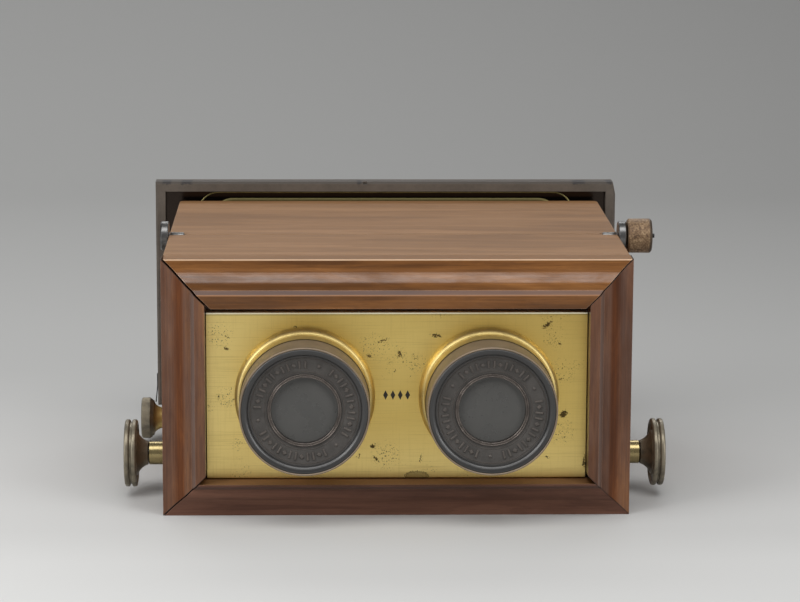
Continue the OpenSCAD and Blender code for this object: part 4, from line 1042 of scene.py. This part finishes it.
def pin_sleeves():
    """Steel sleeves round the lid's pins, half sunk in the top."""
    mesh = bmesh.new()
    for side, sign in SIDES.items():
        low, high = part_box("lid_pin_" + side)
        inner = sign * min(abs(low.x), abs(high.x))
        axis = Vector((0, (low.y + high.y) / 2, (low.z + high.z) / 2))
        rings = []
        for along, radius in SLEEVE_RINGS:
            x = inner + sign * (along - SLEEVE_START) * MM
            spokes = [Vector((x, radius * MM * c, radius * MM * s)) for c, s in ring_points(SLEEVE_STEPS)]
            rings.append([mesh.verts.new(axis + spoke) for spoke in spokes])
        for a, b in zip(rings, rings[1:]):
            join_rings(mesh, a, b)
        mesh.faces.new(rings[0])
        mesh.faces.new(rings[-1])
    add_piece("pin_sleeves", mesh, "lid", "sleeve_steel", smooth=True)


pin_sleeves()

# Back screws: radius, rise, and distances from the board's sides and from its top and bottom
BACK_SCREW = (1.5 * MM, 0.25 * MM)
BACK_SCREW_IN = 6 * MM
BACK_SCREW_DROP = 2.3 * MM
BACK_SCREW_SEED = 4


def back_screws():
    """Screws that hold the reflector's back board."""
    mesh = bmesh.new()
    low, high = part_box("reflector_back")
    dice = random.Random(BACK_SCREW_SEED)
    for x in (low.x + BACK_SCREW_IN, (low.x + high.x) / 2, high.x - BACK_SCREW_IN):
        for z in (low.z + BACK_SCREW_DROP, high.z - BACK_SCREW_DROP):
            place = facing(Vector((x, high.y, z)), BACKWARD, dice.uniform(0, math.pi))
            add_screw(mesh, place, *BACK_SCREW)
    add_piece("back_screws", mesh, "reflector", "inner_brass")


back_screws()

# Hinge screws: radius, rise, places along a leaf and up it, and the leaves' length and thickness
HINGE_SCREW = (1.1 * MM, 0.2 * MM)
HINGE_SCREW_PLACES = (3 * MM, 12 * MM, 21 * MM)
HINGE_SCREW_UP = 2.6 * MM
HINGE_LEAF_L = 24 * MM
HINGE_LEAF_T = 1.2 * MM
HINGE_SCREW_SEED = 7


def hinge_screws():
    """Screws through the leaves on the rear of the case."""
    mesh = bmesh.new()
    low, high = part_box("case_hinge_leaves")
    dice = random.Random(HINGE_SCREW_SEED)
    for start in (low.x, high.x - HINGE_LEAF_L):
        for along in HINGE_SCREW_PLACES:
            point = Vector((start + along, BASE_HIGH.y + HINGE_LEAF_T, low.z + HINGE_SCREW_UP))
            add_screw(mesh, facing(point, BACKWARD, dice.uniform(0, math.pi)), *HINGE_SCREW)
    add_piece("hinge_screws", mesh, "case", "inner_brass")


hinge_screws()


# Stage, light and camera

# Painted light and shade on the paper by depth plus height, in metres, with a painted shadow just in front of
# the case
PAPER_PAINTED_LIGHT = (
    (-1.6, 0.32), (-0.8, 0.42), (-0.58, 0.58), (-0.42, 0.69), (-0.25, 0.60), (-0.14, 0.58), (-0.1, 0.53),
    (0.0, 0.52), (0.1, 0.465), (0.2, 0.415), (0.35, 0.385), (0.5, 0.360), (0.7, 0.335), (0.9, 0.305),
    (1.25, 0.263),
)
PAPER_WARMTH = 0.985
# Painted falloff of the light, darker from left to right: places across, and the factors at them
PAPER_PAINTED_FALLOFF = {"From Min": -0.45, "From Max": 0.45, "To Min": 1.11, "To Max": 0.82}
# Reach of the floor to the sides and in front, depth of the backdrop's bend, its radius, and the top
STAGE_HALF = 3.0
STAGE_FRONT = -3.0
STAGE_BACK = 0.75
STAGE_BEND = 0.45
STAGE_TOP = 3.0
STAGE_STEPS = 16


def stage_material(name):
    """Pale grey paper with painted light and shade: darker towards the top of the backdrop and a little to
    the right, with a painted shadow just in front of the case.
    """
    f = Finish(name)
    across, depth, height = f.axes()
    low, high = PAPER_PAINTED_LIGHT[0][0], PAPER_PAINTED_LIGHT[-1][0]
    place = f.math("DIVIDE", f.minus(f.plus(depth, height), low), high - low)
    tone = f.ramp(place, [((t - low) / (high - low), (v, v, v * PAPER_WARMTH)) for t, v in PAPER_PAINTED_LIGHT])
    fade = f.add("ShaderNodeMapRange")
    f.feed(fade.inputs["Value"], across)
    for socket, value in PAPER_PAINTED_FALLOFF.items():
        f.feed(fade.inputs[socket], value)
    grade = f.add("ShaderNodeCombineColor")
    for channel in grade.inputs:
        f.feed(channel, fade.outputs["Result"])
    f.set(Base_Color=f.mix(1.0, tone, grade.outputs[0], "MULTIPLY"), Roughness=0.8, Specular_IOR_Level=0.15)
    # The paper has one side only, so that it hides nothing from a camera behind it
    f.set(Alpha=f.inverse(f.add("ShaderNodeNewGeometry").outputs["Backfacing"]))
    return f.material


def make_stage():
    """A floor that bends up into a backdrop."""
    mesh = bmesh.new()
    profile = [(STAGE_FRONT, 0.0), (STAGE_BACK, 0.0)]
    for i in range(1, STAGE_STEPS + 1):
        angle = math.radians(90 * i / STAGE_STEPS)
        profile.append((STAGE_BACK + STAGE_BEND * math.sin(angle), STAGE_BEND - STAGE_BEND * math.cos(angle)))
    profile.append((STAGE_BACK + STAGE_BEND, STAGE_TOP))
    rows = [[mesh.verts.new((x, y, z)) for x in (-STAGE_HALF, STAGE_HALF)] for y, z in profile]
    for a, b in zip(rows, rows[1:]):
        mesh.faces.new([a[0], a[1], b[1], b[0]])
    data = bpy.data.meshes.new("studio_floor")
    mesh.to_mesh(data)
    mesh.free()
    for face in data.polygons:
        face.use_smooth = True
    floor = bpy.data.objects.new("studio_floor", data)
    bpy.context.scene.collection.objects.link(floor)
    data.materials.append(stage_material("studio_paper"))


# The lamps: place, target, size and watts
LAMPS = {
    "soft_box": ((0, -0.62, 1.24), (0, -0.07, 0.06), (1.8, 0.7), 12.5),
    "back_light": ((0, 1.0, 0.95), (0, -0.05, 0.05), (1.6, 0.5), 7),
    "key_light": ((-1.15, -0.75, 0.75), (0, -0.07, 0.05), (0.7, 0.9), 10.5),
    "fill_light": ((1.1, -0.9, 0.5), (0, -0.07, 0.05), (0.6, 0.8), 6.5),
}
WORLD_TONE = (0.80, 0.80, 0.80, 1)
WORLD_STRENGTH = 0.34


def add_lamp(name, place, target, size, watts):
    data = bpy.data.lights.new(name, "AREA")
    data.shape = "RECTANGLE"
    data.size, data.size_y = size
    data.energy = watts
    lamp = bpy.data.objects.new(name, data)
    bpy.context.scene.collection.objects.link(lamp)
    lamp.location = place
    lamp.rotation_euler = (Vector(target) - Vector(place)).to_track_quat("-Z", "Y").to_euler()


def make_light():
    for name, values in LAMPS.items():
        add_lamp(name, *values)
    world = bpy.data.worlds.new("studio")
    bpy.context.scene.world = world
    world.use_nodes = True
    background = world.node_tree.nodes["Background"]
    background.inputs["Color"].default_value = WORLD_TONE
    background.inputs["Strength"].default_value = WORLD_STRENGTH


# Camera of the photograph: place and angles worked out from the object's corners
CAMERA_PLACE = Vector((-0.0293, -1.17325, 0.2954))
CAMERA_YAW = 1.58
CAMERA_PITCH = 10.78
CAMERA_ROLL = 0.23
CAMERA_LENS = 129.2
SENSOR_WIDTH = 36
CAMERA_CLIP = (0.05, 20)


def make_camera():
    data = bpy.data.cameras.new("camera")
    data.lens = CAMERA_LENS
    data.sensor_width = SENSOR_WIDTH
    data.clip_start, data.clip_end = CAMERA_CLIP
    camera = bpy.data.objects.new("camera", data)
    bpy.context.scene.collection.objects.link(camera)
    yaw, pitch, roll = (math.radians(a) for a in (CAMERA_YAW, CAMERA_PITCH, CAMERA_ROLL))
    level = math.cos(pitch)
    ahead = Vector((math.sin(yaw) * level, math.cos(yaw) * level, -math.sin(pitch)))
    right = Vector((math.cos(yaw), -math.sin(yaw), 0))
    up = right.cross(ahead)
    rolled_right = math.cos(roll) * right + math.sin(roll) * up
    rolled_up = math.cos(roll) * up - math.sin(roll) * right
    turn = Matrix((rolled_right, rolled_up, -ahead)).transposed()
    camera.matrix_world = Matrix.Translation(CAMERA_PLACE) @ turn.to_4x4()
    bpy.context.scene.camera = camera


make_stage()
make_light()
make_camera()
bpy.context.scene.view_settings.view_transform = "Standard"
